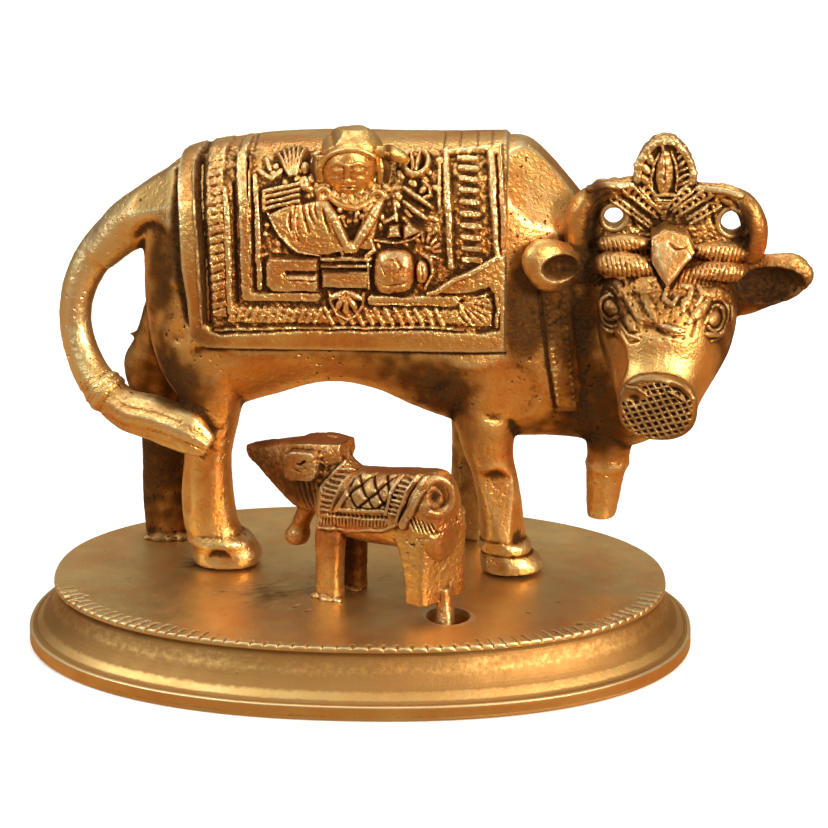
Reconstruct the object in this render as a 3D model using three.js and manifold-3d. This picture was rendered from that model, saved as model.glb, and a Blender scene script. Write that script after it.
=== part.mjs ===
// Cow and calf on an oval plinth, three brass castings.
// Millimetres, +Z up. The origin is the centre of the plinth's underside, +X the end where
// the cow's head is, and the cow turns her head towards -Y, where the calf stands.
// The plinth and the pegs have their own sizes. Each animal's pose and carving are shares of
// its own height, in hundredths, measured from its own place on the plinth.
import * as THREE from "three";
import { ParametricGeometry } from "three/addons/geometries/ParametricGeometry.js";
import { mergeVertices } from "three/addons/utils/BufferGeometryUtils.js";
import Module from "manifold-3d";

// Plinth
const PLINTH_LENGTH = 106.4;
const PLINTH_DEPTH = 67.5;
const PLINTH_HEIGHT = 10.2;
const PLINTH_SQUARENESS = 2.2; // 2 is a plain ellipse, more is fuller at the corners
const FLANGE_EDGE = 2.5; // height of the upright edge at the foot
const FLANGE_ROUND = 0.9; // how far the flange's arris is rounded over
const TOP_INSET = 4.3; // the top plate stands this far inside the foot
const TOP_EDGE = 1.4; // height of the top plate's edge
const COVE_UNDERCUT = 0.7; // how far the cove runs in under the top plate
const TOP_BEVEL = 0.3;
const PLINTH_SEGMENTS = 44;

// Cow
const COW_HEIGHT = 70; // from the plinth to the back
const COW_MIDDLE = [0, 9]; // where the middle of the cow stands, along X and Y
const BLANKET_RISE = 0.65; // the blanket stands this far proud of the flank
const BORDER_RISE = 1.15; // its ridges and bands
const FIGURE_RISE = 1.9; // the relief figure's flat parts
const HOOF_GAP = 0.3; // the near front hoof stands clear of the plinth by this
const HOOF_PEG = 3.2; // diameter of the peg under that hoof
const HOOF_PEG_REACH = 3; // how deep it goes into the plinth

// Calf
const CALF_HEIGHT = 24; // from the plinth to the back
const CALF_MIDDLE = [5, -11];
const CALF_TURN = 28; // degrees, the tail end turned towards -Y
const CALF_BLANKET_RISE = 0.35;
const CALF_BORDER_RISE = 0.65;
const CALF_PEG = 2.6; // diameter of the peg behind the hind legs
const CALF_PEG_REACH = 3.2;

// Pegs in the plinth
const PEG_CLEARANCE = 0.3; // round the hoof peg, and under both pegs
const CALF_HOLE = 6.9; // the calf's hole was drilled far too wide for its peg
const CALF_HOLE_DRIFT = [0.2, -1.6]; // and off its centre
const HOLE_SIDES = 16;

// A cut that passes right through an animal, in hundredths
const THROUGH = 40;

const wasm = await Module();
wasm.setup();

// Solids

// A closed geometry as a solid. Where rows of it meet in one point, the empty triangles go,
// and a geometry that came out inside out is turned.
function solid(geometry) {
  const plain = geometry.clone();
  plain.deleteAttribute("normal");
  plain.deleteAttribute("uv");
  const merged = mergeVertices(plain, 1e-5);
  const points = merged.attributes.position.array;
  const corners = [];
  let volume = 0;
  const at = (i) => new THREE.Vector3().fromArray(points, 3 * i);
  for (let i = 0; i < merged.index.count; i += 3) {
    const [a, b, c] = [0, 1, 2].map((k) => merged.index.array[i + k]);
    if (a === b || b === c || c === a) continue;
    corners.push(a, b, c);
    volume += at(a).dot(at(b).cross(at(c)));
  }
  if (volume < 0) corners.reverse();
  const mesh = new wasm.Mesh({
    numProp: 3,
    vertProperties: points,
    triVerts: new Uint32Array(corners),
  });
  return new wasm.Manifold(mesh);
}

const join = (solids) => solids.reduce((all, one) => all.add(one));

// A solid as a named mesh
function piece(name, body, material) {
  const { vertProperties, triVerts } = body.getMesh();
  const geometry = new THREE.BufferGeometry();
  geometry.setAttribute("position", new THREE.BufferAttribute(vertProperties, 3));
  geometry.setIndex(new THREE.BufferAttribute(triVerts, 1));
  geometry.computeVertexNormals();
  const mesh = new THREE.Mesh(geometry, material);
  mesh.name = name;
  return mesh;
}

// The cosine or sine of a superellipse: power 2 is round, more is squarer
const squared = (value, power) => Math.sign(value) * Math.abs(value) ** (2 / power);

// A skin through sections. Each section is { at, side, up } in Vector3s: its centre and its
// two half axes. The ends are closed flat, so a round end has a small last section.
function skin(sections, { around = 12, rows = 1, power = 2 } = {}) {
  const curve = (key) =>
    new THREE.CatmullRomCurve3(sections.map((s) => s[key]), false, "catmullrom", 0.5);
  const at = curve("at");
  const side = curve("side");
  const up = curve("up");
  const stacks = (sections.length - 1) * rows + 2;
  const surface = (u, v, target) => {
    const row = Math.round(v * stacks);
    const t = THREE.MathUtils.clamp((row - 1) / (stacks - 2), 0, 1);
    target.copy(at.getPoint(t));
    if (row === 0 || row === stacks) return;
    const angle = 2 * Math.PI * (u % 1);
    target.addScaledVector(side.getPoint(t), squared(Math.cos(angle), power));
    target.addScaledVector(up.getPoint(t), squared(Math.sin(angle), power));
  };
  return solid(new ParametricGeometry(surface, around, stacks));
}

// An animal's own frame: hundredths of its height, from where it stands on the plinth
function frameOf(height, [x, y], turn = 0) {
  const share = height / 100;
  const place = new THREE.Matrix4()
    .makeTranslation(x, y, PLINTH_HEIGHT)
    .multiply(new THREE.Matrix4().makeRotationZ(THREE.MathUtils.degToRad(-turn)))
    .multiply(new THREE.Matrix4().makeScale(share, share, share));
  const vector = (a, b, c) => new THREE.Vector3(a, b, c);

  // A direction in the animal's frame, its length kept to scale
  const turned = (direction) => {
    const length = vector(...direction).length() * share;
    return vector(...direction).transformDirection(place).multiplyScalar(length);
  };

  // A skin of sections written in the animal's frame
  const form = (sections, options) =>
    skin(
      sections.map(({ at, side, up }) => ({
        at: vector(...at).applyMatrix4(place),
        side: turned(side),
        up: turned(up),
      })),
      options,
    );

  // Slices across the animal: [x, top, bottom, half width, middle y]
  const slices = (rows, options, grow = 0) =>
    form(
      rows.map(([x, top, bottom, half, middle = 0]) => ({
        at: [x, middle, (top + bottom) / 2],
        side: [0, half + grow, 0],
        up: [0, 0, (top - bottom) / 2 + grow],
      })),
      options,
    );

  // Level slices of an upright form: [z, x, y, half length, half width]
  const post = (rows, options) =>
    form(
      rows.map(([z, x, y, long, wide]) => ({ at: [x, y, z], side: [long, 0, 0], up: [0, wide, 0] })),
      options,
    );

  // A rod along points [x, y, z, radius, flatness]; its flatness is the share of its radius
  // that it keeps along the axis given
  const rod = (points, options, axis = [0, 1, 0]) => {
    const path = new THREE.CatmullRomCurve3(points.map(([x, y, z]) => vector(x, y, z)));
    return form(
      points.map(([x, y, z, radius, flat = 1], i) => {
        const along = path.getTangent(i / (points.length - 1));
        const across = vector(...axis).cross(along).normalize();
        const deep = along.clone().cross(across);
        return {
          at: [x, y, z],
          side: across.multiplyScalar(radius).toArray(),
          up: deep.multiplyScalar(radius * flat).toArray(),
        };
      }),
      options,
    );
  };

  // An upright outline of [x, z] points, cut through from one y to another
  const prism = (outline, near, far) => {
    const shape = new THREE.Shape(outline.map(([a, b]) => new THREE.Vector2(a, b)));
    const geometry = new THREE.ExtrudeGeometry(shape, { depth: far - near, bevelEnabled: false });
    geometry.rotateX(Math.PI / 2).translate(0, far, 0).applyMatrix4(place);
    return solid(geometry);
  };

  const ball = ([x, y, z], [rx, ry, rz], detail = 12) => {
    const geometry = new THREE.SphereGeometry(1, detail, Math.round((detail * 2) / 3));
    return solid(geometry.scale(rx, ry, rz).translate(x, y, z).applyMatrix4(place));
  };

  return { share, place, form, slices, post, rod, prism, ball };
}

// Outlines in an upright plane

const box = (x0, z0, x1, z1) => [
  [x0, z0],
  [x1, z0],
  [x1, z1],
  [x0, z1],
];

// A bar from one point to another
function bar(x0, z0, x1, z1, width) {
  const length = Math.hypot(x1 - x0, z1 - z0);
  const [nx, nz] = [(-(z1 - z0) / length) * (width / 2), ((x1 - x0) / length) * (width / 2)];
  return [
    [x0 - nx, z0 - nz],
    [x1 - nx, z1 - nz],
    [x1 + nx, z1 + nz],
    [x0 + nx, z0 + nz],
  ];
}

function oval(x, z, rx, rz, sides = 12) {
  return Array.from({ length: sides }, (_, i) => {
    const angle = (2 * Math.PI * (i + 0.5)) / sides;
    return [x + rx * Math.cos(angle), z + rz * Math.sin(angle)];
  });
}

// A pointed leaf from its foot to its tip
function leaf(x0, z0, x1, z1, half, steps = 5) {
  const length = Math.hypot(x1 - x0, z1 - z0);
  const [dx, dz] = [(x1 - x0) / length, (z1 - z0) / length];
  const edge = (t, sign) => {
    const out = sign * half * Math.sin(Math.PI * t ** 0.8);
    return [x0 + dx * length * t - dz * out, z0 + dz * length * t + dx * out];
  };
  const rise = Array.from({ length: steps }, (_, i) => edge(i / steps, -1));
  const fall = Array.from({ length: steps }, (_, i) => edge(1 - i / steps, 1));
  return [...rise, ...fall];
}

// Copies of an outline made by a function of its count, from the first to the last
const repeat = (count, make) => Array.from({ length: count }, (_, i) => make(i, i / (count - 1)));

// Plinth: an oval plate with an upright edge, a swept flank and a top plate that stands proud
// of the cove under it, with the two peg holes.
function plinth() {
  const [halfLength, halfDepth] = [PLINTH_LENGTH / 2, PLINTH_DEPTH / 2];
  const coveInset = TOP_INSET + COVE_UNDERCUT;
  const coveTop = PLINTH_HEIGHT - TOP_EDGE;
  const sweep = coveTop - FLANGE_EDGE;
  const profile = [
    [FLANGE_ROUND / 2, 0],
    [0, FLANGE_ROUND / 2],
    [0, FLANGE_EDGE - FLANGE_ROUND / 2],
    [FLANGE_ROUND, FLANGE_EDGE],
    [coveInset * 0.6, FLANGE_EDGE + sweep * 0.38],
    [coveInset * 0.9, FLANGE_EDGE + sweep * 0.74],
    [coveInset, coveTop],
    [TOP_INSET, coveTop + TOP_EDGE * 0.3],
    [TOP_INSET, PLINTH_HEIGHT - TOP_BEVEL],
    [TOP_INSET + TOP_BEVEL, PLINTH_HEIGHT],
  ].map(([inset, z]) => new THREE.Vector2(halfLength - inset, z));
  const turned = new THREE.LatheGeometry(
    [new THREE.Vector2(0, 0), ...profile, new THREE.Vector2(0, PLINTH_HEIGHT)],
    PLINTH_SEGMENTS,
  ).rotateX(Math.PI / 2);

  // The turned disc becomes an oval: every edge keeps its inset from the outer one
  const points = turned.attributes.position;
  for (let i = 0; i < points.count; i++) {
    const radius = Math.hypot(points.getX(i), points.getY(i));
    if (radius < 1e-6) continue;
    const inset = halfLength - radius;
    const x = (halfLength - inset) * squared(points.getX(i) / radius, PLINTH_SQUARENESS);
    const y = (halfDepth - inset) * squared(points.getY(i) / radius, PLINTH_SQUARENESS);
    points.setXYZ(i, x, y, points.getZ(i));
  }

  const hole = (x, y, diameter, depth) => {
    const drill = new THREE.CylinderGeometry(diameter / 2, diameter / 2, 2 * depth, HOLE_SIDES);
    return solid(drill.rotateX(Math.PI / 2).translate(x, y, PLINTH_HEIGHT));
  };
  const calfPeg = new THREE.Vector3(...CALF_PEG_AT, 0).applyMatrix4(calf.place);
  const hoofPeg = new THREE.Vector3(...HOOF_PEG_AT, 0).applyMatrix4(cow.place);
  return solid(turned)
    .subtract(
      hole(
        calfPeg.x + CALF_HOLE_DRIFT[0],
        calfPeg.y + CALF_HOLE_DRIFT[1],
        CALF_HOLE,
        CALF_PEG_REACH + PEG_CLEARANCE,
      ),
    )
    .subtract(
      hole(hoofPeg.x, hoofPeg.y, HOOF_PEG + 2 * PEG_CLEARANCE, HOOF_PEG_REACH + PEG_CLEARANCE),
    );
}

// Cow
const cow = frameOf(COW_HEIGHT, COW_MIDDLE);
const HOOF_PEG_AT = [33.8, -9.5]; // in the cow's frame

// Trunk and neck, from the rump to where the neck turns into the head
const TRUNK = [
  [-48.6, 77, 60, 5],
  [-46.8, 85.5, 49, 10.5],
  [-43, 91.3, 41, 15],
  [-38, 94.2, 37.5, 18],
  [-30, 96.2, 37, 19.3],
  [-20, 97.7, 40, 19.6],
  [-8, 98.4, 43.4, 19.6],
  [2, 98.4, 42.4, 19.6],
  [12, 98.4, 38.2, 19.6],
  [22, 98.5, 34.4, 19.6],
  [31, 98.8, 31.8, 19],
  [37, 98.6, 31, 18],
  [43, 93.5, 31, 16],
  [50, 85.5, 30.5, 14, -1],
  [58, 78, 29.6, 13, -3.6],
  [66, 76, 33, 12.8, -6.8],
  [74, 74, 43, 10, -9.4],
  [80, 66, 54, 4, -11],
];

function cowTrunk(rise = 0) {
  return cow.slices(TRUNK, { around: 20, power: 2.9 }, rise / cow.share);
}

// The outlines, cut through one flank, that stand proud of the trunk by a rise
function onFlank(rise, outlines, side = -1) {
  const [near, far] = side < 0 ? [-THROUGH, -1] : [1, THROUGH];
  return cowTrunk(rise).intersect(join(outlines.map((outline) => cow.prism(outline, near, far))));
}

// Blanket edges and the panel inside its borders
const CLOTH = { left: -38.5, right: 32.8, foot: 55.5, top: 104 };
const PANEL = { left: -20, right: 20, foot: 69.8 };

function cowBlanket() {
  const { left, right, foot, top } = CLOTH;
  const cloth = [
    [left, 76],
    [left + 1, 62],
    [left + 2.6, foot + 0.8],
    [left + 4, foot],
    [right, foot],
    [right, top],
    [left, top],
  ];
  const plain = [cloth];
  const wide = 5; // the plain outer band
  const hatch = 5; // the hatched band inside it
  const groove = 1.3;
  const ridge = 1.8;
  const inner = left + wide + groove;
  const borders = [
    // outer band down the rump side and along the foot
    box(left, foot + 5, left + wide, top),
    box(left + 3.5, foot, right, foot + 2.8),
    // two ridges beside the panel, and their returns under it
    box(PANEL.left - ridge, PANEL.foot, PANEL.left, top),
    box(PANEL.left - 2 * ridge - groove, PANEL.foot - 4.6, PANEL.left - ridge - groove, top),
    box(PANEL.left - 2, PANEL.foot - 4.6, -8, PANEL.foot - 2.6),
    box(4, PANEL.foot - 4.6, 21.5, PANEL.foot - 2.6),
    // shoulder side: ridge, ladder rails and outer band
    box(PANEL.right, 74, PANEL.right + 1.4, top),
    box(right - 5.4, 76.5, right - 1.2, top),
  ];
  const rungs = [
    ...repeat(5, (i, t) => {
      const z = 63 + t * 31;
      return bar(inner, z - 0.9, inner + hatch - 0.4, z + 0.7, 1.3);
    }),
    ...repeat(8, (i, t) => {
      const x = inner + 2.5 + t * (right - inner - 9);
      return bar(x - 0.9, foot + 4.6, x + 0.9, foot + 9.2, 1.3);
    }),
    ...repeat(6, (i, t) => {
      const z = 78 + t * 18.6;
      return bar(PANEL.right + 2.6, z, PANEL.right + 6.4, z + 0.3, 1.2);
    }),
  ];
  // the fold of cloth that hangs over the shoulder's foot
  const fold = [
    [17, 68.6],
    [23, 71],
    [30.4, 75.6],
    [33, 75.4],
    [33, 73.4],
    [27, 70.5],
    [21, 66.8],
  ];
  return join([
    onFlank(BLANKET_RISE, plain),
    onFlank(BORDER_RISE, [...borders, ...rungs]),
    onFlank(FIGURE_RISE, [fold]),
    onFlank(BLANKET_RISE, plain, 1),
  ]);
}

// The seated figure in relief on the near flank, with what lies round it
function cowFigure() {
  const flat = [
    // shawl over the shoulder, with its pleats left to the surface
    [
      [-18.6, 86.5],
      [-7.2, 90.5],
      [-4.6, 84],
      [-4.4, 78],
      [-12.5, 78.4],
    ],
    bar(-6.3, 88, -1.6, 78.2, 2.9),
    bar(4.8, 86.6, 0.2, 78.2, 2.9),
    // crossed legs, seat and sash
    box(-19.3, 69.4, -7.6, 71.8),
    box(-19.3, 73, -7.6, 75.4),
    box(-19.3, 70, -16.4, 75),
    box(-6.9, 73.9, 3.1, 75.7),
    box(-6.9, 70, 3.0, 73),
    // striped block and fan tuft
    ...repeat(3, (i) => bar(-19, 87.4 + 1.75 * i, -11.6, 89.2 + 1.75 * i, 1.1)),
    ...repeat(4, (i) => bar(-11.4, 91.4, -15.2 + 1.3 * i, 98.6 + 0.4 * i, 0.9)),
    // bars and small triangles beside the coil
    ...repeat(3, (i) => bar(10.6 + 1.5 * i, 90.5 - 1.9 * i, 14 + 1.2 * i, 91.6 - 1.8 * i, 1)),
    ...repeat(2, (i) => [
      [7.4 + 3.3 * i, 80.2],
      [10.4 + 3.3 * i, 80.2],
      [9 + 3.3 * i, 83],
    ]),
    oval(14.2, 72.7, 1.4, 2.6, 8),
    // lotus petals under the seat
    ...repeat(5, (i) => {
      const angle = Math.PI * (1.12 + 0.19 * i);
      const [dx, dz] = [Math.cos(angle), Math.sin(angle)];
      return leaf(-1.9 + 1.2 * dx, 69.4 + 1 * dz, -1.9 + 5.8 * dx, 69.4 + 5.2 * dz, 1.15, 3);
    }),
  ];
  const coil = cow.rod(
    repeat(8, (i, t) => {
      const angle = 2 * Math.PI * t * 0.94;
      return [13.2 + 2.5 * Math.cos(angle), -15.6, 94.6 + 2.5 * Math.sin(angle), 0.9];
    }),
    { around: 5 },
  );
  return join([
    onFlank(FIGURE_RISE, flat),
    coil,
    cow.ball([-1.6, -15.8, 94], [6.3, 5, 6.2], 10), // face
    cow.ball([-0.4, -11.6, 99.4], [7.2, 6.6, 4.4], 8), // cap
    cow.rod(
      [
        [-7.8, -16, 97, 1],
        [-3.5, -17.6, 99, 1.2],
        [2, -17.6, 99.2, 1.2],
        [6.5, -15.6, 97.8, 1.3],
        [9.8, -13.6, 96.6, 1],
      ],
      { around: 6 },
    ),
    ...[-7.6, 5.6].map((x) => cow.ball([x, -17, 90.2], [1.6, 1.8, 2.1], 6)), // ear drops
    cow.ball([8.5, -19.2, 73.2], [4.2, 3.2, 4.6], 8), // pot
  ]);
}

// A leg as level slices, its foot at a height over the plinth
function cowLegs() {
  const hoofFoot = HOOF_GAP / cow.share;
  const round = { around: 10, power: 2.3 };
  return join([
    // near hind leg, its boot of a hoof turned forwards
    cow.post(
      [
        [0, -31, -8.6, 7.6, 6],
        [3, -30.8, -8.6, 8.2, 6.4],
        [6.2, -32.3, -8.6, 7.4, 6],
        [9.3, -34.2, -8.6, 6.7, 5.6],
        [13, -34.8, -8.6, 6.3, 5.4],
        [19.5, -35.1, -8.6, 5.9, 5.4],
        [27, -34.6, -8.7, 5.5, 5.6],
        [38.7, -33.4, -9, 7, 7],
        [52, -33, -9, 10.6, 9.4],
        [66, -34, -7, 9, 9],
      ],
      round,
    ),
    // far hind leg, a plain post
    cow.post(
      [
        [0, -47.2, 9.3, 5.4, 5.2],
        [10, -47.2, 9.3, 5.7, 5.4],
        [27, -47.4, 9.3, 5.6, 5.6],
        [42, -49, 8.6, 7.2, 6.6],
        [50, -46, 7, 7, 8],
        [62, -44, 5, 5, 7],
      ],
      round,
    ),
    // near front leg
    cow.post(
      [
        [hoofFoot, 34.5, -9.4, 7.1, 6.5],
        [1.8, 34.8, -9.4, 7.4, 6.7],
        [4.6, 33.7, -9.4, 6.2, 5.9],
        [7, 32.8, -9.4, 5.5, 5.4],
        [16, 32, -9.4, 5.1, 5.1],
        [23.3, 30.6, -9.4, 5.2, 5.2],
        [30, 29, -9.3, 5.9, 6],
        [45, 27.5, -9, 8.5, 8.6],
        [60, 28, -8, 9, 9],
      ],
      round,
    ),
    // far front leg, rounded off at the foot
    cow.post(
      [
        [0, 25.6, 10.6, 3.4, 3.4],
        [3, 25.2, 10.6, 4.6, 4.6],
        [10, 25, 10.6, 5.2, 5.2],
        [28, 25.4, 10.2, 5.4, 5.4],
        [42, 26.5, 9, 8, 8],
        [56, 27, 7, 8, 8],
      ],
      round,
    ),
    // anklets on the two near legs
    cow.post(
      [
        [5.4, -32, -8.6, 7.6, 6.3],
        [6.4, -32.4, -8.6, 8, 6.6],
        [7.4, -32.9, -8.6, 7.4, 6.2],
      ],
      round,
    ),
    cow.post(
      [
        [5.6, 33.3, -9.4, 6, 5.8],
        [6.6, 33, -9.4, 6.4, 6.2],
        [7.6, 32.8, -9.4, 5.8, 5.8],
      ],
      round,
    ),
  ]);
}

// The peg that stands the near front hoof off the plinth
function hoofPeg() {
  const reach = HOOF_PEG_REACH / cow.share;
  const radius = HOOF_PEG / 2 / cow.share;
  const [x, y] = HOOF_PEG_AT;
  return cow.post(
    [
      [-reach, x, y, radius, radius],
      [6, x, y, radius, radius],
    ],
    { around: 8 },
  );
}

// The tail swings out behind, and its tuft lies across the near hind leg
function cowTail() {
  return join([
    cow.rod(
      [
        [-40, 0, 82, 7.8, 0.9],
        [-47, 0, 80.6, 6.5, 0.9],
        [-54, -0.2, 77, 5.2, 0.9],
        [-60.6, -0.8, 70.4, 4.4, 0.9],
        [-64.6, -1.4, 62, 3.9, 1],
        [-64.9, -2.6, 53, 3.8, 1],
        [-60.6, -6, 43.6, 4.3, 0.95],
        [-53.6, -9.6, 38, 4.8, 0.85],
        [-45.2, -13.4, 36.6, 5.4, 0.7],
        [-38, -16.8, 34.4, 5, 0.6],
        [-33.2, -17.6, 31.2, 3, 0.6],
      ],
      { around: 8, rows: 2 },
    ),
    // ring at the head of the tuft
    cow.rod(
      [
        [-59.4, -6.8, 42.3, 4.5, 1],
        [-57.8, -7.6, 40.9, 5.1, 1],
        [-56.2, -8.4, 39.7, 4.6, 1],
      ],
      { around: 10 },
    ),
    // spike of flash on the rump, left from the mould
    cow.rod(
      [
        [-47, 4, 50, 2],
        [-51, 4, 50.4, 1.3],
        [-54.4, 4, 51.4, 0.3],
      ],
      { around: 6 },
    ),
  ]);
}

// Head, turned a right angle towards the near side and bowed
function cowHead() {
  const skull = cow.form(
    [
      { at: [69, -2, 70], side: [8, 0, 0], up: [0, -3.5, 4.5] },
      { at: [68.7, -7, 68], side: [13.3, 0, -0.6], up: [0, -7, 9] },
      { at: [68.2, -13, 64], side: [15.2, 0, -0.9], up: [0, -9, 11.5] },
      { at: [67.5, -19, 58.8], side: [14.2, 0, -0.9], up: [0, -9, 11.5] },
      { at: [66.8, -24.6, 54], side: [11.2, 0, -0.7], up: [0, -7.2, 10.5] },
      { at: [66.1, -29.3, 50.6], side: [9, 0, -0.5], up: [0, -3.6, 8.8] },
      { at: [65.8, -33.2, 48.8], side: [8.1, 0, -0.4], up: [0, -1.2, 7.3] },
      { at: [65.8, -35.4, 48.7], side: [7.6, 0, -0.4], up: [0, -0.7, 6.8] },
    ],
    { around: 16, power: 2.2 },
  );
  // rim and inner pad of the muzzle
  const lip = cow.form(
    [
      { at: [65.8, -33.6, 48.8], side: [8.3, 0, -0.4], up: [0, -1, 7.4] },
      { at: [65.8, -35.4, 48.7], side: [8.5, 0, -0.4], up: [0, -0.8, 7.5] },
      { at: [65.8, -36.6, 48.6], side: [7.2, 0, -0.4], up: [0, -0.6, 6.2] },
    ],
    { around: 14, power: 2.3 },
  );
  // eyes set low on the brow's sides, each with a heavy upper lid
  const eyes = [
    [55.6, -21.6, 66.4, 1],
    [79.6, -21.2, 64.6, -1],
  ].flatMap(([x, y, z, sign]) => [
    cow.ball([x + 0.6 * sign, y, z], [2.9, 2, 1.9], 8),
    cow.rod(
      [
        [x - 3.2 * sign, y + 3, z + 0.6, 0.6],
        [x - 0.4 * sign, y - 0.7, z + 2.3, 1.1],
        [x + 3.2 * sign, y - 1.2, z + 1, 0.9],
        [x + 5.4 * sign, y - 0.6, z - 1.4, 0.5],
      ],
      { around: 6 },
      [0, 0, 1],
    ),
  ]);
  return join([skull, lip, ...eyes]);
}

// Headband of two cords a side that meet at a jewel
function cowHeadband() {
  const jewel = cow.prism(
    [
      [64.4, 81.8],
      [68.4, 82.6],
      [72, 80.4],
      [70.4, 76.4],
      [67, 71.6],
      [64.4, 76],
    ],
    -25.4,
    -16,
  );
  const cord = (points, radius) =>
    cow.rod(
      points.map((point, i) => [...point, i % (points.length - 1) ? radius : radius * 0.6]),
      { around: 6 },
      [0, 0, 1],
    );
  return join([
    jewel,
    cord([[52.4, -12, 77], [55.5, -18, 77.8], [60, -21.2, 79], [64.6, -22.4, 80.2]], 1.7),
    cord([[52, -13, 73.6], [55, -20.5, 73.4], [60, -23.6, 72.6], [66.4, -24.8, 71.6]], 2.3),
    cord([[84.4, -12, 76], [81, -18, 77], [76.5, -21, 78], [71.6, -22.2, 79.2]], 1.7),
    cord([[84.8, -13, 73], [81.5, -20, 73], [76, -23.4, 72.8], [68.4, -24.8, 72.2]], 2.3),
  ]);
}

// Crown: a plate between the horns, a tall leaf in the middle and ribbed leaves beside it
function cowCrown() {
  const [back, front] = [-11, -15];
  const plate = cow.prism(
    [
      [49, 72],
      [86, 72],
      [87.4, 79],
      [87.2, 86],
      [83.4, 91],
      [76, 92],
      [73.6, 92.2],
      [72.8, 97],
      [70, 101],
      [66.6, 102.9],
      [63.4, 101.6],
      [61, 97.5],
      [60, 93.2],
      [52, 92],
      [47.8, 88],
      [47, 80],
    ],
    front,
    back,
  );
  const middleLeaf = cow.prism(leaf(66.7, 82, 66.5, 103.6, 6.6, 5), front - 1.2, back);
  const seed = cow.ball([66.5, front - 1.4, 93.5], [1.5, 1.7, 5.2], 8);
  const ribs = repeat(3, (i) => {
    const z = 88.6 + 4 * i;
    return [-1, 1].map((sign) =>
      cow.rod(
        [
          [66.6 + 1.6 * sign, front - 1.2, z, 0.5],
          [66.6 + 4.4 * sign, front - 1.5, z + 1.8, 0.8],
        ],
        { around: 4 },
      ),
    );
  }).flat();
  const sideLeaves = [
    [63.4, 83.2, 59.4, 93.4],
    [62, 82.4, 54.4, 90.2],
    [70.2, 83, 75, 92.8],
    [71.8, 82.2, 80.6, 89.6],
  ].map(([x0, z0, x1, z1]) => cow.prism(leaf(x0, z0, x1, z1, 2.1, 3), front - 1.3, back));
  const holes = [
    [56, 85, 2.1],
    [81.5, 84.2, 2.5],
  ].map(([x, z, radius]) => cow.prism(oval(x, z, radius, radius, 10), front - 3, back + 2));
  // each horn rises beside the plate and curls in over it
  const horns = [
    [
      [51, -10, 74, 2.6],
      [48, -13, 78.4, 2.7],
      [47.2, -14.6, 84, 2.6],
      [49.6, -15, 89, 2.4],
      [54.4, -14.6, 91.4, 2.1],
      [60.4, -13.8, 91.8, 1.6],
    ],
    [
      [83.2, -10, 73.4, 2.6],
      [86, -13, 77.6, 2.6],
      [86.6, -14.6, 83.4, 2.5],
      [84.4, -15, 88.4, 2.4],
      [80, -14.6, 90.8, 2.1],
      [73.2, -13.8, 91.4, 1.6],
    ],
  ].map((points) => cow.rod(points, { around: 7 }));
  const crown = join([plate, middleLeaf, seed, ...ribs, ...sideLeaves, ...horns]);
  return crown.subtract(join(holes));
}

// Ears: leaves held out sideways, hollowed on the near side
function cowEars() {
  const near = cow
    .slices(
      [
        [52, 77, 69, 3, -11],
        [48, 78, 70.5, 3.4, -12],
        [43, 79.2, 67.6, 3.2, -13],
        [38.6, 78.2, 69.4, 2.6, -13],
        [36, 76, 73.4, 1, -13],
      ],
      { around: 12 },
    )
    .subtract(cow.ball([42.8, -17.4, 73], [4.6, 3.8, 3.9], 8));
  const far = cow
    .slices(
      [
        [80, 76, 62, 3, -11],
        [85, 76, 62.6, 3.2, -12],
        [90.5, 76.4, 65.2, 3, -13],
        [96, 76, 68, 2.6, -13.4],
        [99.8, 74, 70.4, 1, -13.4],
      ],
      { around: 12 },
    )
    .subtract(cow.ball([91.5, -17.2, 71.2], [6, 3.6, 3.7], 8));
  return join([near, far]);
}

// Strap round the neck and the blunt pendant under the throat
function cowNeckwear() {
  const strapOutline = [
    [42.4, 66],
    [46.4, 66],
    [48.6, 52],
    [51.4, 33],
    [47.6, 31],
    [44.6, 48],
  ];
  const strap = cowTrunk(0.55).intersect(cow.prism(strapOutline, -THROUGH, THROUGH));
  const studs = repeat(9, (i, t) =>
    cow.ball([43.9 + 4 * t + 1.2 * t * t, -14.2 + 4.6 * t ** 3, 64 - 28 * t], [0.7, 0.9, 0.7], 4),
  );
  const pendant = cow.post(
    [
      [12.9, 55, -7, 3.1, 3.1],
      [13.6, 55, -7, 3.5, 3.5],
      [24, 55.8, -7, 4.6, 4.6],
      [25.4, 56, -7, 5.2, 5.2],
      [27, 56.2, -7, 5.1, 5.1],
      [36, 56.8, -7, 6, 6],
    ],
    { around: 12 },
  );
  return join([strap, ...studs, pendant]);
}

// Calf
const calf = frameOf(CALF_HEIGHT, CALF_MIDDLE, CALF_TURN);
const CALF_PEG_AT = [46, 1.5]; // in the calf's frame

const CALF_TRUNK = [
  [-49, 72, 52, 8],
  [-45, 80, 46, 14],
  [-36, 85, 42, 18],
  [-12, 88.8, 40.4, 19.3],
  [14, 93, 41.6, 19.3],
  [34, 96.4, 40, 19.3],
  [42, 95, 38, 18],
  [47, 88, 42, 15],
  [49.4, 77, 54, 8.5],
];

function calfTrunk(rise = 0) {
  return calf.slices(CALF_TRUNK, { around: 12, power: 2.6 }, rise / calf.share);
}

function calfOnFlank(rise, outlines) {
  return calfTrunk(rise).intersect(
    join(outlines.map((outline) => calf.prism(outline, -THROUGH, -2))),
  );
}

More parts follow.
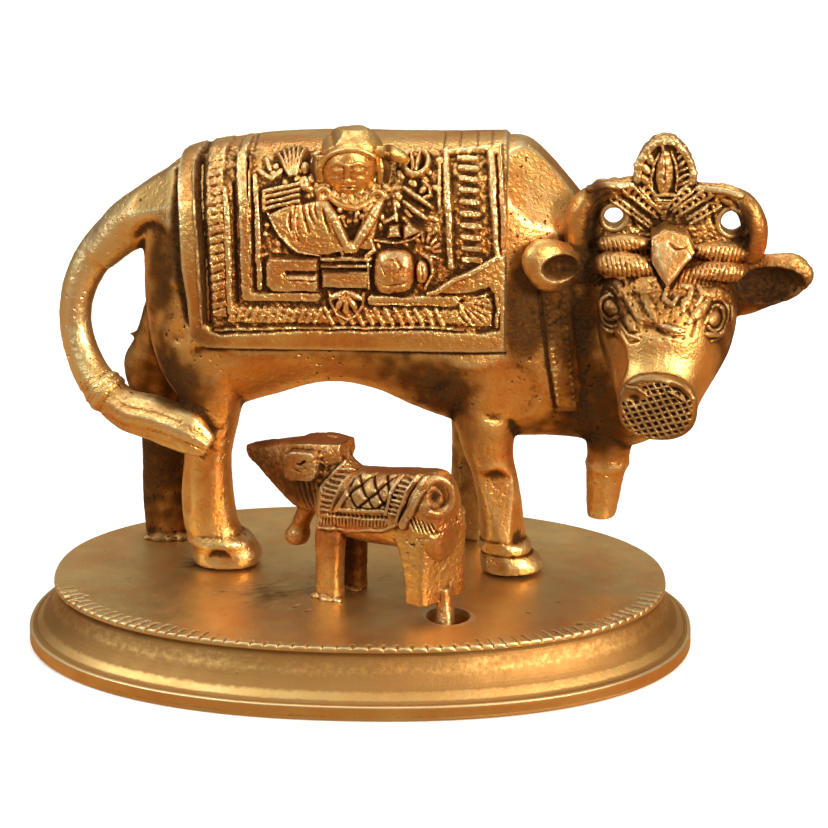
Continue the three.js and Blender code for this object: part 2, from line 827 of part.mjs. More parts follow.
function calfBlanket() {
  const cloth = [
    [-39, 49],
    [20, 57],
    [33, 104],
    [-21, 104],
    [-34, 72],
  ];
  const borders = [
    bar(-37, 52, -19, 93, 2.4),
    bar(-27.5, 57, -11, 93, 3),
    bar(-36, 51.4, 18, 58, 3),
    bar(-26, 59.6, 10, 64.6, 2.6),
    bar(12, 62, 22, 97, 3),
    bar(24, 60, 33, 97, 3.4),
    bar(-13, 72, 7, 84, 2.6),
  ];
  return join([
    calfOnFlank(CALF_BLANKET_RISE, [cloth]),
    calfOnFlank(CALF_BORDER_RISE, borders),
  ]);
}

function calfHead() {
  // skull and neck in one wedge, ground flat on top
  const neck = calf.form(
    [
      { at: [-22, 0, 72], side: [0, 15, 0], up: [8, 0, 22] },
      { at: [-38, 0, 74], side: [0, 14.5, 0], up: [10, 0, 24] },
      { at: [-52, 0, 76], side: [0, 14, 0], up: [12, 0, 26] },
      { at: [-66, 0, 80], side: [0, 13.4, 0], up: [9, 0, 22] },
      { at: [-93, 0, 84.5], side: [0, 10, 0], up: [2, 0, 9.5] },
      { at: [-103, 0, 86], side: [0, 6.5, 0], up: [0, 0, 5.5] },
      { at: [-106.5, 0, 86.2], side: [0, 2.6, 0], up: [0, 0, 2.4] },
    ],
    { around: 12, power: 2.3 },
  );
  const poll = calf.form(
    [
      { at: [-66, 0, 93], side: [0, 14, 0], up: [0, 0, 16] },
      { at: [-50, 0, 95], side: [0, 15, 0], up: [0, 0, 16] },
      { at: [-38, 0, 97], side: [0, 13.4, 0], up: [0, 0, 12] },
      { at: [-31, 0, 101], side: [0, 10, 0], up: [0, 0, 7] },
    ],
    { around: 10, power: 2.4 },
  );
  const top = calf.prism(
    [
      [-112, 86.5],
      [-94, 91.6],
      [-72, 98],
      [-50, 102.6],
      [-20, 105],
      [-20, 140],
      [-112, 140],
    ],
    -THROUGH,
    THROUGH,
  );
  const ears = [-1, 1].map((sign) =>
    calf.prism(
      [
        [-64, 78.6],
        [-43, 82],
        [-41, 98],
        [-47, 100],
        [-63, 96],
      ],
      sign < 0 ? -20.5 : 10,
      sign < 0 ? -10 : 20.5,
    ),
  );
  const bell = calf.post(
    [
      [24.6, -68, 0, 3, 3],
      [27.4, -68, 0, 6.8, 6.8],
      [33, -68, 0, 7.8, 7.8],
      [39.4, -66, 0, 5.6, 5.6],
      [56, -58, 0, 7, 7],
    ],
    { around: 8 },
  );
  return join([neck.add(poll).subtract(top), ...ears, bell]);
}

function calfLegs() {
  const round = { around: 10, power: 2.6 };
  const front = [-1, 1].map((sign) =>
    calf.post(
      [
        [0, -36.6, 12.4 * sign, 10.8, 6.8],
        [20, -36, 12.4 * sign, 10.2, 6.6],
        [44, -34.4, 12 * sign, 10.4, 7.2],
        [60, -32, 10 * sign, 10, 7],
      ],
      round,
    ),
  );
  // the hind legs were cast as one block, and its foot stays clear of the plinth
  const hind = calf.post(
    [
      [9, 35, 0, 8.4, 18],
      [12, 35, 0, 9, 18.6],
      [30, 34.4, 0, 9.4, 19],
      [46, 32, 0, 11.6, 18.6],
      [58, 32, 0, 14.6, 18.4],
      [70, 33, 0, 14, 16],
    ],
    { around: 12, power: 5 },
  );
  const [x, y] = CALF_PEG_AT;
  const radius = CALF_PEG / 2 / calf.share;
  const peg = calf.post(
    [
      [-CALF_PEG_REACH / calf.share, x, y, radius, radius],
      [16, x - 3, y, radius, radius],
      [30, x - 6, y, radius, radius],
    ],
    { around: 10, power: 3 },
  );
  return join([...front, hind, peg]);
}

// The tail curls into a ring on the rump
function calfTail() {
  return calf.rod(
    repeat(9, (i, t) => {
      const angle = Math.PI * (0.75 - 2 * t * 0.9);
      return [39.5 + 7 * Math.cos(angle), -17.5, 82 + 8.6 * Math.sin(angle), 2.5, 0.9];
    }),
    { around: 5 },
  );
}

const brass = new THREE.MeshStandardMaterial({ color: 0xb9853c, roughness: 0.38, metalness: 1 });
const plinthBrass = new THREE.MeshStandardMaterial({ color: 0xb8873f, roughness: 0.42, metalness: 1 });
const calfBrass = new THREE.MeshStandardMaterial({ color: 0xa87b3a, roughness: 0.45, metalness: 1 });

const statue = new THREE.Group();
statue.add(piece("plinth", plinth(), plinthBrass));
statue.add(
  piece(
    "cow",
    join([
      cowTrunk(),
      cowBlanket(),
      cowFigure(),
      cowLegs(),
      hoofPeg(),
      cowTail(),
      cowHead(),
      cowHeadband(),
      cowCrown(),
      cowEars(),
      cowNeckwear(),
    ]),
    brass,
  ),
);
statue.add(
  piece("calf", join([calfTrunk(), calfBlanket(), calfHead(), calfLegs(), calfTail()]), calfBrass),
);

export default statue;
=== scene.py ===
import bmesh
import bpy
import numpy as np
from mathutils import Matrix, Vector, noise


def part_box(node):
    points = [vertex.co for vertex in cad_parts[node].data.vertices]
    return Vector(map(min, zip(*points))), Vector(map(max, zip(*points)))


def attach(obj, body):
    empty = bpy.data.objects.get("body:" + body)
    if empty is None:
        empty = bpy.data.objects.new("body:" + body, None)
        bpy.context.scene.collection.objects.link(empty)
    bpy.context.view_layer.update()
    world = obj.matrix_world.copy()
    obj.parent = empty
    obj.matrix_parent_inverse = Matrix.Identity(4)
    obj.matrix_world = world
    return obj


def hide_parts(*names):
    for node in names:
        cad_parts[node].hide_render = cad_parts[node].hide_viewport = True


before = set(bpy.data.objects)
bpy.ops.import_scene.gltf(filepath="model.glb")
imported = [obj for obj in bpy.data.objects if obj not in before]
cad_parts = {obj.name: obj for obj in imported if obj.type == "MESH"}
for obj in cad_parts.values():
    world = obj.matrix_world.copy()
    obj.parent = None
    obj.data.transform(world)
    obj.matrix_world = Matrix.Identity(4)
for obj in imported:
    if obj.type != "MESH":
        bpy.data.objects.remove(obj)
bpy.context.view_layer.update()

# Plinth: one oval brass casting with a swept flank under a top plate. The rim of the plate was
# punched into a row of beads, short ticks were cut inside it with a chisel, and two holes were
# drilled for the pegs under the calf and under the cow's near front hoof.
MM = 0.001
PLINTH_SQUARENESS = 2.2
FLANGE_EDGE = 2.5
FLANGE_ROUND = 0.9
TOP_INSET = 4.3
TOP_EDGE = 1.4
COVE_UNDERCUT = 0.7
BEAD_DEPTH = 0.42
# length of a bead, and how much longer those half way along the plinth are
BEAD_PITCH = 1.65
BEAD_STRETCH = 0.65
TICK_DEPTH = 0.3
PLINTH_COLUMNS = 800
# how much closer the columns stand along the front
FRONT_CROWDING = 0.42
# speckled darkening round the feet: place along X and Y and reach, in mm
PLINTH_FOOT_DARKENING = [(-14, -9, 5.5), (-4.5, -7, 5), (-23, 13, 5), (25, 2.4, 4.5), (-27, 2, 3.5)]
# pits in the plate: place along X and Y, radius and depth, in mm
PLINTH_PITS = [
    (-44.6, -12.6, 0.55, 0.5), (-46.2, -13.6, 0.5, 0.4), (-43.2, -14, 0.35, 0.3), (-42, -11.9, 0.3, 0.3),
    (-21, -9, 0.3, 0.25), (35, -18.3, 0.5, 0.4), (27, -14.6, 0.35, 0.3), (31.4, -10.2, 0.3, 0.25),
    (-7, -16, 0.35, 0.3), (-9, -14.2, 0.3, 0.25),
]
# name, place in mm, radius and depth
PEG_HOLES = [("calf_peg_hole", (14.88, -16.61), 3.45, 3.5), ("hoof_peg_hole", (23.66, 2.35), 1.9, 3.3)]


def squared(value, power):
    """The cosine or sine of a superellipse: power 2 is round, more is squarer."""
    return np.sign(value) * np.abs(value) ** (2 / power)


def through(table, count):
    """Evenly spaced rows on a smooth curve through a table's rows."""
    rows = np.asarray(table, float)
    padded = np.vstack([2 * rows[0] - rows[1], rows, 2 * rows[-1] - rows[-2]])
    place = np.linspace(0, len(rows) - 1, count)
    first = np.minimum(place.astype(int), len(rows) - 2)
    t = (place - first)[:, None]
    a, b, c, d = (padded[first + k] for k in range(4))
    return b + 0.5 * t * (c - a + t * (2 * a - 5 * b + 4 * c - d + t * (3 * (b - c) + d - a)))


def soft_step(value, low, high):
    t = np.clip((value - low) / (high - low), 0, 1)
    return t * t * (3 - 2 * t)


def grain(places, size, seed=0):
    """Smooth noise from -1 to 1 with lumps of about that size."""
    spots = (np.asarray(places) / size + 7.3 * seed).tolist()
    return np.fromiter((noise.noise(spot) for spot in spots), float, len(spots))


def new_mesh(bm, name):
    mesh = bpy.data.meshes.new(name)
    bm.to_mesh(mesh)
    bm.free()
    piece = bpy.data.objects.new(name, mesh)
    bpy.context.scene.collection.objects.link(piece)
    return piece


def places_of(mesh):
    flat = np.empty(3 * len(mesh.vertices), np.float32)
    mesh.vertices.foreach_get("co", flat)
    return flat.reshape(-1, 3).astype(float)


def facing_of(mesh):
    flat = np.empty(3 * len(mesh.vertices), np.float32)
    mesh.vertex_normals.foreach_get("vector", flat)
    return flat.reshape(-1, 3).astype(float)


def set_places(mesh, places):
    mesh.vertices.foreach_set("co", places.astype(np.float32).ravel())
    mesh.update()


def relaxed(mesh, places, times):
    """Places drawn half way to the middle of their neighbours, a number of times."""
    ends = np.empty(2 * len(mesh.edges), np.int32)
    mesh.edges.foreach_get("vertices", ends)
    a, b = ends.reshape(-1, 2).T
    count = len(places)
    degree = np.maximum(np.bincount(a, minlength=count) + np.bincount(b, minlength=count), 1)
    smooth = places.copy()
    for _ in range(times):
        for k in range(smooth.shape[1]):
            near = np.bincount(a, smooth[b, k], count) + np.bincount(b, smooth[a, k], count)
            smooth[:, k] += 0.5 * (near / degree - smooth[:, k])
    return smooth


def mark(mesh, name, values):
    attribute = mesh.attributes.get(name) or mesh.attributes.new(name, "FLOAT", "POINT")
    attribute.data.foreach_set("value", np.asarray(values, np.float32))


def sheet(bm, columns, rows):
    """A grid to be bent to shape: its vertices, their place across from -1 to 1, and their row."""
    verts = bmesh.ops.create_grid(bm, x_segments=columns, y_segments=rows - 1, size=1)["verts"]
    spots = np.array([vert.co for vert in verts])
    return verts, spots[:, 0], np.rint((spots[:, 1] + 1) / 2 * (rows - 1)).astype(int)


def put(verts, places):
    for vert, place in zip(verts, places):
        vert.co = place


def modified(piece, kind, **settings):
    """The piece with one modifier made real."""
    modifier = piece.modifiers.new(kind.title(), kind)
    for key, value in settings.items():
        setattr(modifier, key, value)
    graph = bpy.context.evaluated_depsgraph_get()
    mesh = bpy.data.meshes.new_from_object(piece.evaluated_get(graph))
    piece.modifiers.clear()
    old, piece.data = piece.data, mesh
    bpy.data.meshes.remove(old)
    return piece


def wiring(tree):
    """The few words that a node tree is written in here."""

    def node(kind, **settings):
        made = tree.nodes.new(kind)
        for key, value in settings.items():
            setattr(made, key, value)
        return made

    def feed(sockets, *values):
        for socket, value in zip(sockets, values):
            if hasattr(value, "is_linked"):
                tree.links.new(value, socket)
            else:
                socket.default_value = value

    def maths(operation, first, second=0, third=0, clamp=False):
        made = node("ShaderNodeMath", operation=operation, use_clamp=clamp)
        feed(made.inputs, first, second, third)
        return made.outputs[0]

    def ranged(value, low, high, start=0, end=1, way="SMOOTHSTEP"):
        made = node("ShaderNodeMapRange", interpolation_type=way)
        feed(made.inputs, value, low, high, start, end)
        return made.outputs[0]

    def mixed(share, first, second, blend="MIX"):
        made = node("ShaderNodeMix", data_type="RGBA", blend_type=blend)
        feed([made.inputs[k] for k in (0, 6, 7)], share, first, second)
        return made.outputs[2]

    return node, feed, maths, ranged, mixed


def brass_finish(name, gold, copper, crust, dull, grit):
    """Cast brass: gold where hands have rubbed it, copper brown in between, and a dark crust
    in the carving. It reads two marks of the mesh: how proud a place stands, with painted
    highlight added in places, and its dirt, with painted shade added in places."""
    material = bpy.data.materials.new(name)
    material.use_nodes = True
    material.node_tree.nodes.clear()
    node, feed, maths, ranged, mixed = wiring(material.node_tree)

    def noise_of(size, detail=3, roughness=0.6):
        made = node("ShaderNodeTexNoise")
        sockets = [made.inputs[k] for k in ("Vector", "Scale", "Detail", "Roughness")]
        feed(sockets, where, 1 / size, detail, roughness)
        return made.outputs["Fac"]

    def shade(depth):
        return tuple(depth * c for c in copper[:3]) + (1,)

    where = node("ShaderNodeTexCoord").outputs["Object"]
    proud = node("ShaderNodeAttribute", attribute_name="proud").outputs["Fac"]
    dirt_and_shade = node("ShaderNodeAttribute", attribute_name="dirt_and_shade").outputs["Fac"]

    broad = noise_of(0.011, 3, 0.55)
    patch = noise_of(0.0035, 4)
    speck = noise_of(0.0007)
    fine = noise_of(0.00035, 2)

    worn_and_highlit = maths("ADD", proud, maths("MULTIPLY_ADD", patch, 0.7 * grit, -0.35 * grit))
    warm = ranged(maths("MULTIPLY_ADD", broad, 0.8, maths("MULTIPLY", patch, 0.35)), 0.42, 0.78)
    tone = mixed(warm, gold, copper)
    pale = tuple(min(1, lift * c) for lift, c in zip((1.02, 1.36, 2.2, 1), gold))
    # pale gold where the proud mark runs high: wear, and painted highlight
    wear_and_highlight = mixed(ranged(worn_and_highlit, 0.15, 0.9, 0, 0.65), tone, pale)
    deep = ranged(maths("MULTIPLY_ADD", speck, -0.5, maths("MULTIPLY", worn_and_highlit, -1)), -0.12, 0.45)
    browned = mixed(maths("MULTIPLY", deep, 0.9), wear_and_highlight, shade(0.48))
    # the mark of dirt and painted shade browns the copper, and where it runs highest paints near-black
    # crust and deep shade
    film_and_shade = maths("MULTIPLY_ADD", patch, 0.5, maths("ADD", dirt_and_shade, -0.25))
    stain_and_shade = ranged(film_and_shade, 0.08, 0.75)
    stained_and_shaded = mixed(maths("MULTIPLY", stain_and_shade, 0.88), browned, shade(0.27))
    stained_and_shaded = mixed(maths("MULTIPLY", ranged(film_and_shade, 0.5, 1), 0.8), stained_and_shaded, shade(0.16))
    deep_dirt_and_shade = ranged(maths("ADD", dirt_and_shade, maths("MULTIPLY_ADD", speck, 0.5, -0.25)), 0.78, 1.12)
    dots = ranged(speck, 0.70, 0.76)
    crust_and_dark_shade = maths("MAXIMUM", deep_dirt_and_shade, maths("MULTIPLY", dots, 0.75), clamp=True)
    colour = mixed(crust_and_dark_shade, stained_and_shaded, crust)

    rough = maths("MULTIPLY_ADD", patch, 0.22, dull - 0.08)
    rough = maths("MULTIPLY_ADD", maths("MAXIMUM", deep, stain_and_shade), 0.16, rough)
    rough = maths("MULTIPLY_ADD", crust_and_dark_shade, 0.35, rough, clamp=True)

    heights = maths("MULTIPLY_ADD", fine, 0.25, maths("MULTIPLY", speck, 0.6))
    heights = maths("MULTIPLY", heights, ranged(worn_and_highlit, 0.25, 0.9, 1, 0.35))
    heights = maths("MULTIPLY_ADD", dots, -0.5, heights)
    bump = node("ShaderNodeBump")
    feed([bump.inputs[k] for k in ("Strength", "Distance", "Height")], 0.7 * grit, 0.0002, heights)

    shader = node("ShaderNodeBsdfPrincipled")
    names = ("Base Color", "Metallic", "Roughness", "Normal", "Specular IOR Level")
    sockets = [shader.inputs[k] for k in names]
    feed(sockets, colour, maths("MULTIPLY_ADD", crust_and_dark_shade, -0.7, 1), rough, bump.outputs[0], 0.01)
    feed(node("ShaderNodeOutputMaterial").inputs, shader.outputs[0])
    return material


def oval_turn(turn):
    """Cosine and sine of the plinth's oval."""
    angle = turn - FRONT_CROWDING * np.sin(turn) - np.pi / 2
    return squared(np.cos(angle), PLINTH_SQUARENESS), squared(np.sin(angle), PLINTH_SQUARENESS)


def plinth_piece():
    half_length, half_depth, height = (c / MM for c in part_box("plinth")[1])
    cove_top = height - TOP_EDGE
    sweep = cove_top - FLANGE_EDGE
    cove = TOP_INSET + COVE_UNDERCUT
    edge = FLANGE_ROUND / 2
    profile = [
        (edge, 0), (0.06, edge * 0.5), (0, edge), (0, FLANGE_EDGE / 2), (0, FLANGE_EDGE - edge),
        (0.12, FLANGE_EDGE - 0.1), (FLANGE_ROUND, FLANGE_EDGE + 0.06),
        (cove * 0.33, FLANGE_EDGE + sweep * 0.12), (cove * 0.6, FLANGE_EDGE + sweep * 0.36),
        (cove * 0.85, FLANGE_EDGE + sweep * 0.7), (cove, cove_top - 0.1), (cove - 0.1, cove_top + 0.15),
        (TOP_INSET + 0.06, cove_top + TOP_EDGE * 0.35), (TOP_INSET, height - 0.55),
        (TOP_INSET + 0.1, height - 0.12), (TOP_INSET + 0.45, height),
    ]
    flank = through(profile, 56)
    rim = np.arange(0.6, 5.4, 0.16)
    field = np.linspace(1, 0, 34)[1:] ** 0.8
    under = np.linspace(0, 1, 4)[:-1]
    middle = np.full(len(field), TOP_INSET + rim[-1])
    insets = np.concatenate([np.full(3, edge), flank[:, 0], TOP_INSET + rim, middle])
    levels = np.concatenate([np.zeros(3), flank[:, 1], np.full(len(rim) + len(field), height)])
    shares = np.concatenate([under, np.ones(len(flank) + len(rim)), field])

    bm = bmesh.new()
    dirt_and_shade_layer = bm.verts.layers.float.new("dirt_and_shade")
    grid, across, row = sheet(bm, PLINTH_COLUMNS, len(shares))
    turn = across * np.pi
    c, s = oval_turn(turn)
    inset, level, share = insets[row], levels[row], shares[row]
    outer = share == 1

    # beads and ticks, counted round the rim
    ring = np.linspace(-np.pi, np.pi, 4001)
    rx, ry = oval_turn(ring)
    rx, ry = (half_length - TOP_INSET) * rx, (half_depth - TOP_INSET) * ry
    step = np.hypot(np.diff(rx), np.diff(ry))
    pitch = BEAD_PITCH + BEAD_STRETCH * np.exp(-((rx[1:] / 24) ** 2))
    count = np.concatenate([[0], np.cumsum(step / pitch)])
    beads = np.interp(turn, ring, count * round(count[-1]) / count[-1])
    along = np.stack([beads, 0 * beads, 0 * beads], 1)
    wobble = grain(along, 2.3)
    across = 2 * ((beads + 0.12 * wobble) % 1) - 1
    inward = inset - TOP_INSET
    uneven = np.clip(0.75 + 0.6 * grain(along, 5.1, 1), 0.25, 1.1)
    bead = np.sqrt(np.clip(1 - across**2, 0, 1))
    on_rim = np.sqrt(np.clip(1 - ((inward - 0.5) / 0.85) ** 2, 0, 1)) * outer
    near_top = soft_step(level, cove_top + 0.5, height - 0.1)
    drop = BEAD_DEPTH * uneven * (1 - bead) * on_rim * near_top
    tick_line = np.exp(-(((np.abs(across) - 1) / 0.3) ** 2))
    tick_run = soft_step(inward, 0.9, 1.3) * (1 - soft_step(inward + 0.5 * wobble, 2.4, 3.1))
    side = soft_step(np.abs(c), 0.3, 0.6) * 0.85 + 0.15
    worked = soft_step(-s, 0.12, 0.4)
    tick = tick_line * tick_run * outer * uneven * side * worked * (level > height - 0.01)
    drop = drop * worked
    level = level - drop - TICK_DEPTH * tick
    inset = inset + 0.55 * drop * (inward < 0.5)

    # the file left the flank slightly uneven, and the casting a few pits
    x = (half_length - inset) * share * c
    y = (half_depth - inset) * share * s
    solid = np.stack([x, y, level], 1)
    on_flank = soft_step(level, 0.3, 0.8) * (1 - soft_step(level, cove_top - 0.2, cove_top))
    dents = 0.05 * grain(solid, 8, 2) + 0.008 * grain(solid, 1.1, 3)
    inward_push = np.clip(0.03 + on_flank * (0.06 + dents), 0, None) * outer * (level < height - 1)
    x -= inward_push * np.sign(x) * np.abs(c)
    y -= inward_push * np.sign(y) * np.abs(s)
    top_face = soft_step(level, height - 0.06, height - 0.01)
    level = level - top_face * np.clip(0.05 + 0.06 * grain(solid, 9, 4) + 0.02 * grain(solid, 2, 5), 0, 1)
    dirt_and_shade = 0.75 * tick + 0.7 * soft_step(drop, 0.12, 0.4) * (across**2 > 0.5)
    on_top = level > height - 1
    for px, py, size, deep in PLINTH_PITS:
        reach = np.hypot(x - px, (y - py) * 1.3)
        hollow = np.exp(-((reach / size) ** 2)) * on_top
        level = level - deep * hollow
        dirt_and_shade = np.maximum(dirt_and_shade, 1.2 * hollow)
    for px, py, reach in PLINTH_FOOT_DARKENING:
        near = np.exp(-(((x - px) ** 2 + (y - py) ** 2) / reach**2)) * on_top
        dirt_and_shade = np.maximum(dirt_and_shade, near * (0.62 + 0.4 * grain(solid, 0.9, 6) + 0.3 * grain(solid, 3, 7)))
    # dirt in the cove under the top plate's edge, with painted shade added on the left side, away from
    # the light
    cove_dirt_and_shade = np.exp(-(((level - cove_top + 0.25) / 0.55) ** 2)) * outer
    dirt_and_shade = np.maximum(dirt_and_shade, cove_dirt_and_shade * (0.4 + 0.3 * soft_step(-c, 0.3, 0.9)))
    put(grid, np.stack([x, y, level], 1) * MM)
    for vert, amount in zip(grid, dirt_and_shade):
        vert[dirt_and_shade_layer] = amount
    bmesh.ops.remove_doubles(bm, verts=bm.verts, dist=1e-7)
    bmesh.ops.recalc_face_normals(bm, faces=bm.faces)
    piece = new_mesh(bm, "oval_plinth")

    for name, (px, py), radius, deep in PEG_HOLES:
        bm = bmesh.new()
        wide = radius * MM
        drill = bmesh.ops.create_cone(
            bm, cap_ends=True, segments=48, radius1=wide, radius2=wide, depth=2 * deep * MM
        )
        bmesh.ops.translate(bm, verts=drill["verts"], vec=Vector((px, py, height)) * MM)
        tool = new_mesh(bm, name)
        modified(piece, "BOOLEAN", object=tool, operation="DIFFERENCE", solver="EXACT")
        bpy.data.objects.remove(tool)
    mesh = piece.data
    places = places_of(mesh)
    smooth = relaxed(mesh, places, 6)
    mark(mesh, "proud", np.clip(((places - smooth) * facing_of(mesh)).sum(1) / (0.03 * MM), -1, 1))
    return piece


plinth = plinth_piece()
plinth_brass = brass_finish(
    "plinth_brass", gold=(0.74, 0.47, 0.17, 1), copper=(0.66, 0.33, 0.10, 1),
    crust=(0.03, 0.015, 0.007, 1), dull=0.4, grit=0.4,
)
plinth.data.materials.append(plinth_brass)
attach(plinth, "root")
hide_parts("plinth")

# Cow's body: one rough brass casting, gone over with a file that left flat facets on rump,
# shoulder and legs. Trunk, legs, tail, neck strap and pendant are closed skins in hundredths of
# the cow's height, made one by a voxel remesh, then smoothed, filed and roughened.
COW_SHARE = 0.7
COW_AT = (0, 9, 10.2)
TRUNK_SQUARENESS = 2.9
LEG_SQUARENESS = 2.3
PEG_RADIUS = 2.2
BODY_VOXEL = 0.44
BODY_TRIANGLES = 175000


def loft(bm, sections, around=48, rows=60, power=2.0):
    """A closed skin through oval sections, each a centre and two half axes."""
    centre, side, up = (through([section[k] for section in sections], rows) for k in range(3))
    grid, turn, row = sheet(bm, around, rows + 2)
    angle = (turn + 1) * np.pi
    k = np.clip(row - 1, 0, rows - 1)
    open_row = ((row > 0) & (row < rows + 1))[:, None]
    across = squared(np.cos(angle), power)[:, None] * side[k]
    along = squared(np.sin(angle), power)[:, None] * up[k]
    put(grid, centre[k] + open_row * (across + along))
    bmesh.ops.remove_doubles(bm, verts=grid, dist=1e-5)


def upright(rows):
    """Sections across X: x, top, bottom, half width and middle."""
    return [
        ((x, mid, (top + bottom) / 2), (0, half, 0), (0, 0, (top - bottom) / 2))
        for x, top, bottom, half, mid in rows
    ]


def level(rows):
    """Sections across Z: z, x, y, half length and half width."""
    return [((x, y, z), (long, 0, 0), (0, wide, 0)) for z, x, y, long, wide in rows]


def rod(points, axis=(0, 1, 0)):
    """Sections along a path of x, y, z, radius and flatness."""
    points = np.asarray(points, float)
    along = np.gradient(points[:, :3], axis=0)
    along /= np.linalg.norm(along, axis=1)[:, None]
    across = np.cross(axis, along)
    across /= np.linalg.norm(across, axis=1)[:, None]
    deep = np.cross(along, across)
    radius, flat = points[:, 3:4], points[:, 4:5]
    return list(zip(points[:, :3], across * radius, deep * radius * flat))


def cast(bm, name, voxel, relax):
    """All skins as one closed casting, with the remesh's steps smoothed away."""
    bmesh.ops.recalc_face_normals(bm, faces=bm.faces)
    piece = new_mesh(bm, name)
    modified(piece, "REMESH", mode="VOXEL", voxel_size=voxel)
    mesh = piece.data
    set_places(mesh, relaxed(mesh, places_of(mesh), relax))
    return piece


def settled(mesh, places, times):
    """The places relaxed and given to the mesh, and which way each then faces."""
    places = relaxed(mesh, places, times)
    set_places(mesh, places)
    return places, facing_of(mesh)


def filed(places, spot, normal, reach, cut):
    """A flat facet: what stands over a plane near the spot is filed down to it."""
    normal = np.asarray(normal, float) / np.linalg.norm(normal)
    away = places - spot
    height = away @ normal
    flat = np.linalg.norm(away - height[:, None] * normal, axis=1)
    near = (flat < reach) & (np.abs(height) < 1.2 * reach)
    if not near.any():
        return
    over = height - (height[near & (flat < 0.7 * reach)].max() - cut)
    fade = 1 - soft_step(flat, 0.75 * reach, reach)
    places -= (np.clip(over, 0, None) * fade * near)[:, None] * normal


def weathered(piece, fine, broad, depth, wear_and_highlight=0):
    """Marks what stands proud, with wear and painted highlight added, and gives the darkening of
    the hollows: patina, with painted shade where the hollows are broad. Depth is that of a full mark.
    """
    mesh = piece.data
    places = places_of(mesh)
    facing = facing_of(mesh)
    smooth = relaxed(mesh, places, fine)
    broader = relaxed(mesh, smooth, broad)
    proud = ((places - smooth) * facing).sum(1) / depth
    hollow = -((smooth - broader) * facing).sum(1) / (2.5 * depth)
    mark(mesh, "proud", np.clip(proud - 0.6 * hollow + wear_and_highlight, -1, 1))
    return np.clip(1.3 * hollow - 0.3 * np.clip(proud, -1, 1) - 0.12, 0, 1)


def by_spots(places, spots, seed):
    """Amounts by place, for dirt with painted shade and for wear with painted highlight: each spot is its
    centre, its reach and how much.
    """
    dirt_and_shade = np.zeros(len(places))
    cloud = 0.85 + 0.35 * grain(places, 2.6, seed)
    for spot, reach, amount in spots:
        away = (((places - spot) / reach) ** 2).sum(1)
        dirt_and_shade += amount * np.exp(-(away**1.6)) * cloud
    return np.clip(dirt_and_shade, 0, 0.92)


def finished(piece, dirt_and_shade, triangles, share=COW_SHARE, at=COW_AT, turn=0):
    """The dirt and painted shade marked, the mesh thinned, and the piece brought from hundredths
    of the animal's height to its place on the plinth."""
    mark(piece.data, "dirt_and_shade", np.clip(dirt_and_shade, 0, 1))
    piece.data.calc_loop_triangles()
    modified(piece, "DECIMATE", ratio=triangles / len(piece.data.loop_triangles))
    c, s = np.cos(turn), np.sin(turn)
    x, y, z = places_of(piece.data).T * share
    set_places(piece.data, (np.stack([c * x - s * y, s * x + c * y, z], 1) + at) * MM)
    return piece


